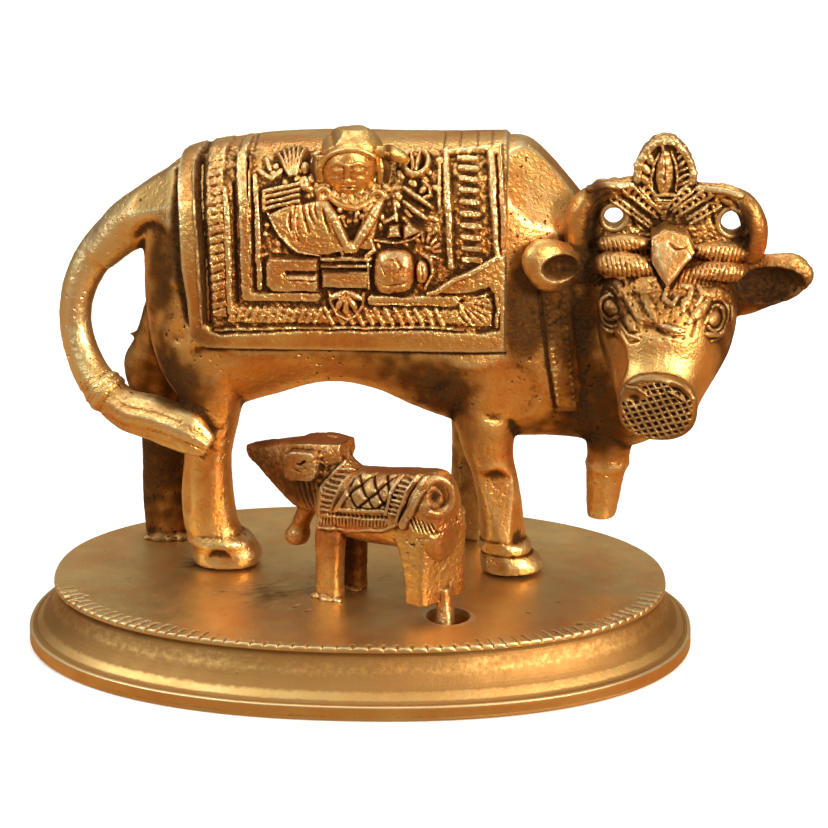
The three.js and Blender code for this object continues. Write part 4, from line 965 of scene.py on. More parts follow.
    # curled end of the scarf, and loose ends under it
    ring = [(13 + 2.7 * np.cos(a), 97 + 3 * np.sin(a)) for a in np.radians(np.arange(-250, 75, 13))]
    ridge(ring, 1.3, 1.45, 0.2, 0.3)
    ridge([(11.8, 99.2), (12.4, 96.6), (12.2, 95)], 1, 1.2, 0.1, 0.3)
    ridge([(13.6, 99.2), (13.4, 96.8), (13, 95)], 1, 1.15, 0.1, 0.3)
    ridge([(14.6, 92.6), (16, 91.6), (16.4, 89.8), (15, 89.4)], 0.9, 1.1, 0.1)
    dome((14.6, 91), (1.1, 0.8), 1.2, 0.6)
    ridge([(10.4, 91.6), (13.6, 89.4), (16.8, 87.4)], 1.2, 1.35, 0.2, 0.3)
    ridge([(10.6, 88.6), (13.4, 86.6), (15.8, 85.2)], 1.3, 1.4, 0.2, 0.3)
    ridge([(10.4, 85.4), (12.6, 83.4)], 0.9, 1, 0.1)
    ridge([(8.4, 88.6), (9, 84.8)], 0.8, 0.7)
    ridge([(6.6, 84.4), (8.6, 85.6)], 0.9, 0.8)
    patch([(7.2, 81.2), (10, 81.4), (9.4, 83.9), (7.8, 83.7)], 1.4, 0.7)
    patch([(10.7, 81), (14.6, 82.6), (12, 84.2), (10.6, 83.6)], 1.45, 0.7)
    ridge([(4.6, 80.6), (9, 80.1), (12.4, 80.9), (14.8, 82.4)], 0.7, 0.9, 0.2)
    # water pot and a small gourd
    dome((8.6, 74), (4.4, 4.9), 2.3, 0, 3.2)
    groove([(5.4, 72), (7.6, 71.2), (11.6, 72)], 0.5, 0.35, 0.5)
    groove([(7, 76.6), (9.2, 77), (10.2, 75.4), (9.2, 73.8)], 0.45, 0.3, 0.5)
    groove([(5.6, 75.8), (6.8, 73.8)], 0.4, 0.25, 0.4)
    dome((14.6, 73.8), (1.5, 2.7), 1.3)
    groove([(14.6, 75.6), (14.8, 72)], 0.4, 0.25)
    ridge([(16.6, 77.2), (17, 73.6), (15.2, 70.2)], 0.8, 0.75, 0.2)
    for k in range(7):
        angle = np.radians(-60 + 26 * k)
        ridge([(15 + 2.2 * np.cos(angle), 78.4 + 2 * np.sin(angle)),
            (15 + 3.6 * np.cos(angle), 78.8 + 3.4 * np.sin(angle))], 0.8, 0.6, 0.1)
    # clouds of punched ground between the things
    for a, b in scattered(90):
        spot = (-19.6 + 38.4 * a, 77 + 22.6 * b)
        dome(spot, (0.8 + 0.5 * a, 0.55 + 0.3 * b), 0.34 + 0.2 * b, 3 * a)


def cow_blanket():
    near_rows = np.arange(0, NEAR_WAY, NEAR_STEP)
    far_rows = np.linspace(NEAR_WAY, WHOLE_WAY, FAR_ROWS)[1:]
    ways = np.concatenate([near_rows, far_rows])
    bm = bmesh.new()
    face, share, row = sheet(bm, int(BLANKET_LENGTH / NEAR_STEP), len(ways))
    share = (share + 1) / 2
    w = BLANKET_FOOT + ways[row]
    left = np.interp(w, *np.array(BLANKET_LEFT).T)
    x = left + share * (BLANKET_RIGHT - left)
    # the lower rump corner is rounded
    corner = np.clip((x + 32) / -5, 0, 1) ** 2.4 * 4.5
    w = w + corner * np.clip(1 - ways[row] / 18, 0, 1)
    spots = np.stack([x, w, 0 * x], 1)
    across = x + 0.22 * grain(spots, 4, 21) + 0.1 * grain(spots, 1.2, 22)
    up = w + 0.22 * grain(spots, 4, 23) + 0.1 * grain(spots, 1.2, 24)
    carving = Carving(across, up)
    border_relief(carving)
    figure_relief(carving)
    height = carving.height
    near = 1 - soft_step(w, 112, 118)
    # the top was ground flat, so that the relief fades out over the shoulder of the back
    height = np.minimum(height, 0.28 + 2.4 * (1 - soft_step(w, 100, 106))) * near
    crumb = 0.5 + 0.5 * (1 - soft_step(height, 0.35, 0.75))
    rough = 0.18 * grain(spots, 0.85, 25) + 0.13 * grain(spots, 0.45, 26)
    fade = 1 - 0.8 * soft_step(w, 101, 106)
    plain = 0.4 + 0.6 * soft_step(x, -34, -32) * soft_step(w, 58.6, 60.4)
    height = height + plain * crumb * rough * fade + 0.03 * grain(spots, 2.5, 27)
    rim = np.minimum.reduce([x - left, BLANKET_RIGHT - x, ways[row] + 0.3, 0 * x + 9])
    edge = soft_step(rim, 0, 0.7)
    base = on_trunk(x, w)
    inner = bmesh.ops.duplicate(bm, geom=bm.verts[:] + bm.edges[:] + bm.faces[:])
    back = [item for item in inner["geom"] if isinstance(item, bmesh.types.BMVert)]
    put(face, base)
    bm.normal_update()
    out = np.array([vert.normal for vert in face])
    out *= np.sign(((base - (0, 0, TRUNK_MIDDLE)) * (0, 1, 1) * out).sum(1))[:, None]
    lift = (BLANKET_RISE * (0.25 + 0.75 * edge) + height * edge) / COW_SHARE
    put(face, base + out * lift[:, None])
    put(back, base - out * 0.8)
    bmesh.ops.bridge_loops(bm, edges=[edge for edge in bm.edges if edge.is_boundary])
    bmesh.ops.recalc_face_normals(bm, faces=bm.faces)
    piece = new_mesh(bm, "cow_blanket")
    dirt_and_shade = weathered(piece, fine=8, broad=40, depth=0.16)
    ground = (1 - soft_step(height, 0, 0.4)) * (1 - soft_step(w, 99, 104)) * (x > -34.6)
    on_face = dirt_and_shade[: len(ground)]
    on_face += ground * (0.3 + 0.45 * grain(spots, 2.2, 28))
    on_face += 0.3 * np.exp(-(((x + 34) / 5) ** 2)) + 0.25 * np.exp(-(((w - 58) / 2.5) ** 2))
    trench = np.interp(w, (61.4, 76.4, 88, 98), (-32.3, -32.8, -33.6, -34.2))
    on_face += 0.7 * np.exp(-(((x - trench) / 0.8) ** 2)) * (w > 61) * (w < 100)
    return finished(piece, dirt_and_shade, BLANKET_TRIANGLES)


blanket = cow_blanket()
blanket.data.materials.append(cow_brass)
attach(blanket, "root")
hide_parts("cow")

# Head of the seated figure on the blanket: cast with the cow, a small plain face under a
# round cap with a thin brim, rings at the ears and locks beside them. Closed skins made one by
# a voxel remesh, the face shaped on an egg that looks at the viewer.
CAP_TOP = 103.55
CAP_FOOT = 98.8
FIGURE_VOXEL = 0.14
FIGURE_TRIANGLES = 55000


def ball(bm, place, radii, segments=32):
    made = bmesh.ops.create_uvsphere(bm, u_segments=segments, v_segments=segments // 2, radius=1)["verts"]
    for vert in made:
        vert.co = Vector([c + r * u for c, r, u in zip(place, radii, vert.co)])


def calm_face(bm):
    """An egg with brows, lowered lids, nose and closed lips, by rule of thirds."""
    centre = np.array([-1.3, -15, 94.4])
    size = 1.14
    half_wide, half_tall, deep = 5.3, 6.3, 5
    egg = bmesh.ops.create_uvsphere(bm, u_segments=150, v_segments=110, radius=1)["verts"]
    spots = np.array([vert.co for vert in egg])
    narrow = 1 - 0.16 * np.clip(-spots[:, 2], 0, 1) ** 2
    a = spots[:, 0] * half_wide * narrow
    b = spots[:, 2] * half_tall
    carving = Carving(a, b)
    ridge, groove, dome, hollow = carving.ridge, carving.groove, carving.dome, carving.hollow
    eye_line, nose_foot, mouth, chin = 0.3, -1.9, -3.1, -4.9
    ridge([(0, eye_line + 1.2), (0, nose_foot + 0.3)], 1.2, 0.75, 0.1)
    dome((0, nose_foot), (1.1, 0.7), 1.15)
    for sign in (-1, 1):
        dome((0.85 * sign, nose_foot - 0.1), (0.5, 0.45), 0.75)
        brow = ((0.7, 1.25), (2.1, 1.75), (3.7, 0.9))
        ridge([(out * sign, eye_line + up) for out, up in brow], 0.55, 0.4)
        hollow((2.1 * sign, eye_line), (1.35, 0.8), 0.35)
        dome((2.1 * sign, eye_line), (1.25, 0.62), 0.55)
        for up, width, depth in ((0.55, 0.28, 0.3), (-0.4, 0.25, 0.28)):
            lid = [(sign, eye_line - 0.1), (2.1 * sign, eye_line + up), (3.4 * sign, eye_line)]
            groove(lid, width, depth)
        dome((2.6 * sign, nose_foot - 0.2), (1.5, 1.2), 0.3)
    ridge([(-1.4, mouth + 0.1), (0, mouth + 0.35), (1.4, mouth + 0.1)], 0.6, 0.6, 0.2, 0.4)
    ridge([(-1, mouth - 0.5), (0, mouth - 0.6), (1, mouth - 0.5)], 0.7, 0.6, 0.2, 0.4)
    groove([(-1.5, mouth), (0, mouth - 0.1), (1.5, mouth)], 0.25, 0.35, 0.3)
    dome((0, chin), (1.2, 0.8), 0.35)
    front = soft_step(-spots[:, 1], 0.15, 0.5)
    out = deep * spots[:, 1] - carving.height * front
    lean = np.radians(12)
    c, s = np.cos(lean), np.sin(lean)
    put(egg, centre + size * np.stack([a, out * c - b * s, b * c - out * s], 1))


def figure_head():
    bm = bmesh.new()
    calm_face(bm)
    ball(bm, (-0.8, -12.4, CAP_FOOT), (6.8, 6.6, 5.2), 48)
    brim = [
        (-7.2, -17.8, 96, 0.3, 1), (-6.2, -18.8, 98.2, 0.5, 1), (-3.9, -19.8, 99.9, 0.55, 1),
        (-1, -20.3, 100.5, 0.55, 1), (2.2, -20, 100.1, 0.55, 1), (4.6, -19, 98.6, 0.5, 1),
    ]
    knot = [
        (4.6, -17.6, 100, 1, 0.9), (7.2, -17.2, 99.3, 1.6, 0.9), (9.8, -16.6, 98.2, 1.4, 0.9),
        (11.4, -16, 97, 0.8, 0.9),
    ]
    loft(bm, rod(knot), 32, 40)
    loft(bm, rod(brim), 32, 70)
    for x, z in ((-6.7, 90.3), (5, 89.8)):
        turns = np.linspace(0, 2 * np.pi, 15)
        ring = [(x + 1.15 * np.cos(t), -18.2, z + 1.15 * np.sin(t), 0.62, 1) for t in turns]
        loft(bm, rod(ring), 20, 44)
        ball(bm, (x, -17.2, z), (0.9, 1.2, 0.9), 16)
    for x0, x1, x2 in ((-8.2, -8.8, -8), (-7.2, -7.6, -7.2), (5.2, 5.6, 5.4), (6.4, 7, 6.6)):
        lock = [(x0, -16.6, 98.4, 0.75, 1), (x1, -16.9, 95.4, 0.8, 1), (x2, -16.6, 92.4, 0.6, 1)]
        loft(bm, rod(lock), 20, 24)
    collar = [
        (-5.4, -18.4, 89.6, 0.6, 1), (-2.6, -19.4, 88, 0.8, 1), (0.6, -19.4, 87.6, 0.8, 1),
        (4.2, -18.4, 89.2, 0.6, 1),
    ]
    loft(bm, rod(collar), 20, 36)
    piece = cast(bm, "figure_head", FIGURE_VOXEL, relax=2)
    mesh = piece.data
    places = places_of(mesh)
    facing = facing_of(mesh)
    cap = (places[:, 2] > CAP_FOOT) & (places[:, 1] > -18)
    filed(places, (-5.6, -14, 101), (-0.62, -0.3, 0.7), reach=5, cut=0.8)
    folds = np.abs(np.sin(0.62 * (places[:, 0] + 0.9 * places[:, 2]))) - 0.6
    # the file left the top of the cap nearly flat
    ground = CAP_TOP - 0.04 * np.abs(places[:, 0])
    lift = 0.3 * folds * cap + 0.07 * grain(places, 1, 41) + 0.04 * grain(places, 0.4, 42)
    places += facing * lift[:, None]
    places[:, 2] = np.where(places[:, 2] > ground, ground + 0.03 * (places[:, 2] - ground), places[:, 2])
    set_places(mesh, places)
    # the top of the cap paler: wear, and painted highlight
    wear_and_highlight = 0.25 * soft_step(places[:, 2], 99.6, 101.6) * cap
    dirt_and_shade = weathered(piece, fine=8, broad=40, depth=0.12, wear_and_highlight=wear_and_highlight)
    # darker bands beside the face, over the locks
    hollow = np.exp(-(((np.abs(places[:, 0] + 1) - 8.2) / 1.3) ** 2)) * (places[:, 1] > -18.6)
    return finished(piece, dirt_and_shade + 0.85 * hollow, FIGURE_TRIANGLES)


seated_head = figure_head()
seated_head.data.materials.append(cow_brass)
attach(seated_head, "root")
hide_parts("cow")

# Cow's head: cast with the body and turned to the near side, the crown between the horns a
# flat plate with two eyelets punched through. Skull, muzzle, headband, horns and ears are closed
# skins made one by a voxel remesh; leaves, cords, eyes and the muzzle's net are chased into it.
HEAD_VOXEL = 0.23
HEAD_TRIANGLES = 193000
CROWN_TOP = 103.5
CROWN_FOOT = 78
MUZZLE_FRONT = -34.6
# round holes in the crown, as x, z and radius, and its outline, as x and z
EYELETS = [(55.9, 85.1, 2.1), (81.5, 84.3, 2.5)]
CROWN_OUTLINE = [
    (49, 72), (86, 72), (87.4, 79), (87.2, 86), (83.4, 91), (76, 92), (73.6, 92.4), (73.2, 96),
    (72.2, 98.6), (70.6, 101), (68.6, 102.7), (66.6, 103.1), (64.4, 102.6), (62.2, 100.6), (60.7, 97.5),
    (59.9, 93.4), (52, 92.6), (47.8, 88), (47, 80),
]
# where dirt has stayed, and painted shade under the headband, beside the near ear, on the cheeks and
# under the jaw: place in hundredths of the cow's height, reach and amount
HEAD_DIRT_AND_SHADE = [
    ((51, -16, 67), (5, 8, 10), 0.9), ((56, -19, 57), (4, 9, 9), 0.65), ((62, -18, 47), (8, 9, 6), 0.6),
    ((48, -18, 75.4), (4, 5, 3.4), 0.6), ((90, -15, 70.4), (9, 6, 4.4), 0.8),
    ((88, -15, 70.4), (4.5, 6, 3.4), 0.9), ((64.6, -20, 77), (1.2, 9, 5), 0.6),
    ((72.6, -20, 76), (1.6, 9, 3.4), 0.6), ((63, -26, 69), (9, 9, 5), 0.3),
    ((80, -16, 54), (6, 8, 10), 0.4), ((92, -14, 65.6), (9, 6, 2.5), 0.5),
    ((79, -18, 58), (6, 9, 12), 0.6), ((52.5, -16, 91), (3, 4, 2.4), 0.8),
    ((51.2, -15.5, 83), (2.2, 4, 7), 1), ((83.8, -15.5, 84), (2.2, 4, 7), 1),
    ((57.6, -24, 65), (4, 5, 4), 0.4), ((78.6, -24, 63.4), (4, 5, 4), 0.4),
    ((66, -18, 85.6), (8, 5, 2.2), 0.4),
]
# and where the file has left it pale, with painted highlight on the bridge of the nose
HEAD_WEAR_AND_HIGHLIGHT = [((66, -28, 59), (5, 8, 6), 0.5), ((67, -25, 80), (3, 4, 4), 0.7)]


def plate(bm, outline, back, front, eyelets=()):
    """A flat plate, upright along X, from an outline of x and z, with round holes."""
    loops = [outline]
    for x, z, radius in eyelets:
        turns = np.linspace(0, 2 * np.pi, 28, endpoint=False)
        loops.append([(x + radius * np.cos(turn), z + radius * np.sin(turn)) for turn in turns])
    edges = []
    for loop in loops:
        verts = [bm.verts.new((x, back, z)) for x, z in loop]
        edges += [bm.edges.new(pair) for pair in zip(verts, verts[1:] + verts[:1])]
    filled = bmesh.ops.triangle_fill(bm, use_beauty=True, edges=edges)["geom"]
    faces = [face for face in filled if isinstance(face, bmesh.types.BMFace)]
    made = bmesh.ops.extrude_face_region(bm, geom=faces, use_keep_orig=True)["geom"]
    moved = [vert for vert in made if isinstance(vert, bmesh.types.BMVert)]
    bmesh.ops.translate(bm, verts=moved, vec=(0, front - back, 0))
    return moved


def scooped(places, facing, centre, radii):
    """A bowl pressed into the near side."""
    away = (places - centre) / radii
    deep = np.linalg.norm(away, axis=1)
    inside = (deep < 1) & (facing[:, 1] < 0.1)
    down = np.sqrt(np.clip(1 - away[:, 0] ** 2 - away[:, 2] ** 2, 0, 1)) * radii[1]
    places[inside, 1] = (centre[1] + down)[inside]


def crown_relief(carving):
    """Tall leaf with its seed, ribbed leaves beside it, and the dark run inside each horn."""
    ridge, groove, patch, dome = carving.ridge, carving.groove, carving.patch, carving.dome
    rim = [
        (60.7, 93.4), (61.2, 97.2), (62.8, 100), (64.6, 101.6), (66.7, 102.1), (68.6, 101.7), (70.2, 100),
        (71.8, 97.6), (72.5, 95.2), (72.3, 93.2),
    ]
    ridge(rim, 1.5, 1, 0.4)
    dome((66.5, 95), (1.9, 5.2), 1.7)
    groove([(66.4, 98.6), (66.6, 95), (66.4, 91.6)], 0.35, 0.3, 0.4)
    ridge([(65.6, 101.6), (66.2, 99.2)], 0.9, 1.1, 0.1, 0.4)
    ridge([(63.9, 91.2), (63.7, 94), (64.3, 97.4), (65.2, 99.4)], 0.8, 1, 0.2, 0.3)
    ridge([(69.1, 91.2), (69.3, 94), (68.7, 97.4), (67.8, 99.8)], 0.8, 0.95, 0.2, 0.3)
    for x0, z0, x1, z1 in ((63.4, 92.6, 61.4, 94.6), (63.3, 95, 61.5, 97), (63.7, 97.2, 62.7, 99.2)):
        dome(((x0 + x1) / 2, (z0 + z1) / 2), (1.7, 0.95), 1.1, np.arctan2(z1 - z0, x1 - x0))
    for k in range(6):
        z = 92.4 + 1.45 * k
        ridge([(69.8 - 0.12 * k, z), (71.9 - 0.3 * k, z + 1.2)], 0.85, 0.95, 0.2, 0.3)
    # collar under the leaf and the tapered foot
    ridge([(64.4, 90.3), (68.6, 90.4)], 0.8, 1.1)
    ridge([(64.7, 89.2), (68.3, 89.3)], 0.6, 1)
    patch([(64.8, 89), (68.2, 89), (66.9, 84.6), (66.1, 84.6)], 0.9, 0.6)
    for k in range(3):
        groove([(64.8 + 0.4 * k, 88.2 - 1.2 * k), (68.2 - 0.4 * k, 88.2 - 1.2 * k)], 0.4, 0.35)
    # two ribbed leaves a side
    for foot, tip, width in (
        ((65.7, 85.6), (58.4, 92), 2), ((66, 87.2), (62, 92.4), 1.9), ((63.6, 83.6), (55.6, 89.6), 1.5),
        ((69, 86), (76.4, 91.4), 2), ((67.6, 87.4), (72.4, 92.2), 1.9), ((72, 84.4), (78.4, 88.8), 1.8),
    ):
        foot, tip = np.array(foot), np.array(tip)
        along = (tip - foot) / np.linalg.norm(tip - foot)
        across = np.array([-along[1], along[0]])
        for side in (-0.5, 0.5):
            offset = across * side * width
            ridge([foot + 0.6 * offset, tip + offset], 0.9, 0.95, 0.1, 0.2)
        count = int(np.linalg.norm(tip - foot) / 1.5)
        for k in range(1, count + 1):
            spot = foot + along * 1.5 * k
            lean = 0.55 * along
            ridge([spot - 0.45 * width * across - lean, spot,
                spot + 0.45 * width * across - lean], 1, 0.7, 0)
    # top rim of the plate, the horns' inner sides and rings round the eyelets
    ridge([(50.4, 91.6), (54, 92.2), (59.6, 92.2)], 1.2, 0.9, 0.3)
    ridge([(73.6, 91.8), (79, 91.6), (83, 90.6)], 1.2, 0.8, 0.3)
    groove([(54.4, 90.2), (52.6, 88.6), (51.6, 85.4), (51, 81.6), (51.6, 78.2)], 1.6, 1, 0.2)
    groove([(80, 89.8), (82.8, 88), (84, 85), (84.2, 81.6), (84, 78.2)], 1.6, 1, 0.2)
    for x, z, radius in EYELETS:
        turns = np.linspace(0, 2 * np.pi, 22)
        ring = np.stack([x + (radius + 0.7) * np.cos(turns), z + (radius + 0.7) * np.sin(turns)], 1)
        ridge(ring, 1, 0.45, 0.2)
    groove([(59.6, 86.6), (60.4, 83.2)], 0.7, 0.5)
    groove([(76.4, 88.2), (77.6, 83.8)], 0.7, 0.6)


def face_relief(carving):
    """Headband cords with their ribs, jewel, scrolls, brows, ringed eyes and creased nose."""
    ridge, groove, patch = carving.ridge, carving.groove, carving.patch
    dome, hollow = carving.dome, carving.hollow
    for count, start, step, low, low_z, high, high_z, width, depth in (
        (11, 53.4, 1.02, 0.5, 73.6, -0.4, 78.4, 0.42, 0.28), (9, 53.6, 1, 0.3, 79, -0.5, 81.4, 0.4, 0.26),
        (12, 73, 1.05, -0.3, 76.4, 0.5, 80, 0.42, 0.28),
        (14, 69.8, 1.05, -0.4, 72.6, 0.4, 75.8, 0.42, 0.28),
    ):
        for x in (start + step * k for k in range(count)):
            groove([(x + low, low_z), (x + high, high_z)], width, depth)
    # kite jewel with a notch at its top
    patch([(64.8, 81.2), (67.2, 82.2), (71.6, 80.4), (72.4, 78.8), (67.4, 73.6), (64.8, 78.6)], 0.5, 0.9)
    groove([(67.6, 81.6), (69, 80.4), (71.2, 80.6)], 0.6, 0.6, 0.3)
    groove([(64, 82), (63.4, 78.6), (66.6, 72.6)], 0.9, 0.7)
    groove([(73.6, 79.4), (68.2, 72.8)], 0.9, 0.7)
    # scrolls under the headband
    for spots in (
        [(64.9, 74), (62, 73.6), (60, 72.2), (62, 71.4), (64.6, 72.2)],
        [(56, 73.2), (58.2, 73.4), (59.4, 71.6), (57.2, 70.2), (55.4, 71.4)],
        [(67.4, 72.6), (66.6, 70.6), (68.4, 69.6), (69.8, 71)],
        [(70.4, 73), (72.4, 72.4), (72, 70.4), (70.6, 70.2)],
        [(74, 72.6), (75.2, 70.8), (73.6, 69.2)],
    ):
        ridge(spots, 1.3, 0.65, 0.1, 0.4)
    dome((62.2, 72.6), (1.8, 1), 0.75)
    # brows
    ridge([(54.2, 73.2), (56.4, 72.4), (58.6, 70.6)], 2, 0.95, 0.1, 0.4)
    ridge([(74.8, 71.4), (78, 70.6), (81.4, 68.4)], 2.2, 1, 0.1, 0.4)
    # wrinkles of the brow, slanting down to the nose
    for wrinkle in (
        [(57.6, 71.6), (60.2, 69), (61.8, 66)],
        [(62, 71.6), (63.8, 68.8), (64.6, 66.8)],
        [(58.4, 67.2), (60.2, 64.6)],
        [(72, 70.8), (70.8, 68.6)],
        [(77, 70.4), (74, 67.6), (72, 66.2)],
        [(78.6, 68), (76, 65.6)],
    ):
        ridge(wrinkle, 2.3, 0.6, 0, 0.5)
    # ringed eyes
    for x, z, sign in ((55.2, 67.4, 1), (77.8, 66, -1)):
        hollow((x, z), (3.6, 4.4), 0.5)
        dome((x + 0.2 * sign, z), (1.3, 1.5), 0.7)
        for size, start, end in ((2.3, 70, 330), (3.5, 80, 300), (4.6, 100, 280)):
            turns = np.radians(np.linspace(start, end, 18))
            arc = np.stack([x + sign * size * 0.8 * np.cos(turns), z + size * 1.05 * np.sin(turns)], 1)
            ridge(arc, 0.8, 0.62, 0.2, 0.3)
    ridge([(76, 63.2), (79, 62.2), (81, 64)], 1.2, 0.8, 0.1, 0.3)
    # creases and the wrinkle over the nose
    groove([(57, 66), (59.2, 63.6), (61.4, 64.4)], 0.7, 0.5, 0.3)
    groove([(57.8, 63.6), (59.4, 61.8), (61.2, 62.4)], 0.6, 0.4, 0.3)
    ridge([(59.4, 63.2), (61.4, 63)], 0.7, 0.6)
    ridge([(66, 65.8), (68.6, 64.9), (71.2, 64.6)], 1.3, 0.75, 0.1, 0.4)
    groove([(65.4, 64.6), (68.4, 63.6), (71, 63.4)], 0.6, 0.3, 0.3)
    groove([(71.8, 68.6), (73.6, 66), (73, 63.4)], 0.8, 0.4, 0.3)
    for a, b in scattered(60):
        hollow((56 + 16 * a, 62 + 11 * b), (0.22 + 0.14 * a, 0.22 + 0.12 * b), 0.32)


def muzzle_relief(carving):
    """The net cut over the muzzle, its raised lip and the two nostrils."""
    ridge, groove, hollow = carving.ridge, carving.groove, carving.hollow
    x, z = carving.spots.T
    rise, fall = np.radians(14), np.radians(-62)
    pitch = 1.45
    one = (np.sin(rise) * x - np.cos(rise) * z) / pitch
    other = (np.sin(fall) * x - np.cos(fall) * z) / pitch
    cell = np.minimum(np.abs(one - np.rint(one)), np.abs(other - np.rint(other)))
    pad = 1 - ((np.abs(x - 65.5) / 7.7) ** 2.4 + (np.abs(z - 48.4) / 6.9) ** 2.4)
    inside = soft_step(pad, 0, 0.2)
    nostril = soft_step(1 - ((x - 60.4) / 3.4) ** 2 - ((z - 52.2) / 2.2) ** 2, 0, 0.3)
    carving.height -= 0.85 * soft_step(cell, 0.1, 0.32) * inside * (1 - nostril)
    ridge([(57.6, 51.6), (58.6, 54.4), (62, 55.6), (66, 55.6), (70.2, 54.2),
        (73.2, 51.2)], 1.2, 0.5, 0.2, 0.3)
    hollow((60.6, 51), (1.7, 1), 1.2, -0.3)
    hollow((63, 53.4), (1.6, 0.7), 0.5, -0.2)
    ridge([(58.6, 53.6), (61, 53.8), (63, 52.4)], 0.8, 0.5, 0.1, 0.3)
    groove([(68.4, 54.4), (70.4, 53.4), (72.2, 51.8)], 0.9, 1, 0.3)
    ridge([(67.6, 53.2), (69.6, 52.2), (71.4, 50.9)], 0.7, 0.5, 0.1, 0.3)


def cow_head():
    bm = bmesh.new()
    skull = [
        ((69, -2, 70), (8, 0, 0), (0, -3.5, 4.5)), ((68.7, -7, 68), (13.3, 0, -0.6), (0, -7, 9)),
        ((68.2, -13, 64), (15.2, 0, -0.9), (0, -9, 11.5)),
        ((67.5, -19, 58.8), (14.2, 0, -0.9), (0, -9, 11.5)),
        ((66.8, -24.6, 54), (11.2, 0, -0.7), (0, -7.2, 10.5)),
        ((66.1, -29.3, 50.6), (9.2, 0, -0.5), (0, -3.8, 8.9)),
        ((65.8, -33.2, 48.8), (8.4, 0, -0.4), (0, -1.4, 7.6)),
        ((65.8, -35.4, 48.7), (7.8, 0, -0.4), (0, -0.7, 6.9)),
    ]
    loft(bm, skull, 96, 110, 2.3)
    lip = [
        ((65.8, -33, 48.8), (8, 0, -0.4), (0, -1, 7.1)),
        ((65.8, -34.4, 48.7), (8.5, 0, -0.4), (0, -0.9, 7.5)),
        ((65.7, -36, 48.6), (8.2, 0, -0.4), (0, -0.7, 7.2)),
        ((65.6, -37, 48.6), (6.6, 0, -0.4), (0, -0.6, 5.6)),
    ]
    loft(bm, lip, 72, 24, 2.4)
    for x, y, z, sign in ((55.6, -21.4, 66.8, 1), (79.4, -21, 65.2, -1)):
        ball(bm, (x + 0.6 * sign, y, z), (3.4, 2.4, 3.4))
    jewel = [(63.9, 82.6), (66.8, 84.4), (71.6, 83), (73.2, 79.6), (67.3, 72.4), (64, 77.6)]
    for vert in plate(bm, jewel, -14, -24.4):
        vert.co.y += 0.4 * (vert.co.z - 78)
    cords = [
        ([(51.6, -12, 77.6), (55, -18, 80.2), (59.4, -19.6, 80.8), (64.2, -19.4, 80.4)], 1.8),
        ([(52, -14, 74.2), (55, -20.2, 76), (60, -21.8, 76.2), (66, -21.6, 75.2)], 2.7),
        ([(85.8, -12, 76.6), (82, -17, 78.2), (77.5, -18.8, 78.8), (72.6, -19.6, 79.2)], 2.2),
        ([(85, -14, 73.4), (81.5, -19.6, 74.4), (76, -21.6, 75), (68.6, -22, 73.4)], 2.1),
    ]
    for points, radius in cords:
        line = [(*point, radius * end, 1) for point, end in zip(points, (0.6, 1, 1, 0.5))]
        loft(bm, rod(line, (0, 0, 1)), 32, 40)
    plate(bm, CROWN_OUTLINE, -11, -15, EYELETS)
    horns = [
        [
            (51.4, -10, 73, 2.4, 1), (48.6, -13.4, 78.4, 2.9, 1), (48, -15, 84, 2.9, 1),
            (50, -15.2, 88.8, 2.6, 1), (54.6, -14.8, 91, 2.1, 0.9), (60.4, -13.8, 91.6, 1.6, 0.9),
        ],
        [
            (83, -10, 73, 2.4, 1), (85.8, -13.4, 77.6, 2.9, 1), (86.2, -15, 83.4, 2.9, 1),
            (84, -15.2, 88.2, 2.6, 1), (79.6, -14.8, 90.6, 2.1, 0.9), (73.4, -13.8, 91.2, 1.6, 0.9),
        ],
    ]
    for horn in horns:
        loft(bm, rod(horn), 40, 60)
    near_ear = [
        (54, 77, 69, 3, -12), (48.5, 78.2, 70.2, 3.4, -15), (44, 80.6, 69.4, 3.4, -18.4),
        (40, 81.2, 70, 3.2, -19.8), (37.4, 79.8, 73, 2.2, -20.2), (36.2, 77.6, 75.6, 0.8, -20.4),
    ]
    far_ear = [
        (79, 76, 62, 3, -11), (85, 76, 62.6, 3.4, -12), (90.5, 76.8, 65, 3.2, -13),
        (95.6, 77, 67.2, 2.6, -13.4), (98.6, 74.8, 69.8, 1.8, -13.4), (99.6, 73, 71.2, 0.6, -13.4),
    ]
    for ear in (near_ear, far_ear):
        loft(bm, upright(ear), 56, 60, 2.2)
    piece = cast(bm, "cow_head", HEAD_VOXEL, relax=3)
    mesh = piece.data
    places = places_of(mesh)
    facing = facing_of(mesh)
    scooped(places, facing, (45.8, -22.8, 75.2), (5.2, 5.4, 3.2))
    scooped(places, facing, (90.4, -18.4, 70.4), (8.4, 6.8, 4.6))
    filed(places, (63.4, -31, 60), (-0.05, -0.66, 0.75), reach=5, cut=0.9)
    filed(places, (57.4, -26, 56), (-0.86, -0.5, 0.1), reach=7, cut=1)
    filed(places, (75, -26, 56), (0.86, -0.5, 0.1), reach=7, cut=0.8)
    places, facing = settled(mesh, places, 3)
    x, y, z = places.T
    near_side = soft_step(-facing[:, 1], 0.1, 0.45)
    waver = grain(places, 2.4, 31) * 0.16
    lift = np.zeros(len(x))
    on_crown = (z > CROWN_FOOT) & (y > -17.4) & (facing[:, 1] < 0)
    on_muzzle = (y < MUZZLE_FRONT) & (facing[:, 1] < 0)
    on_face = (z < 84) & (y < -13) & ~on_crown & ~on_muzzle & (x > 50)
    for chosen, relief in ((on_crown, crown_relief), (on_face, face_relief), (on_muzzle, muzzle_relief)):
        lift += carved(relief, places, chosen, waver) * near_side
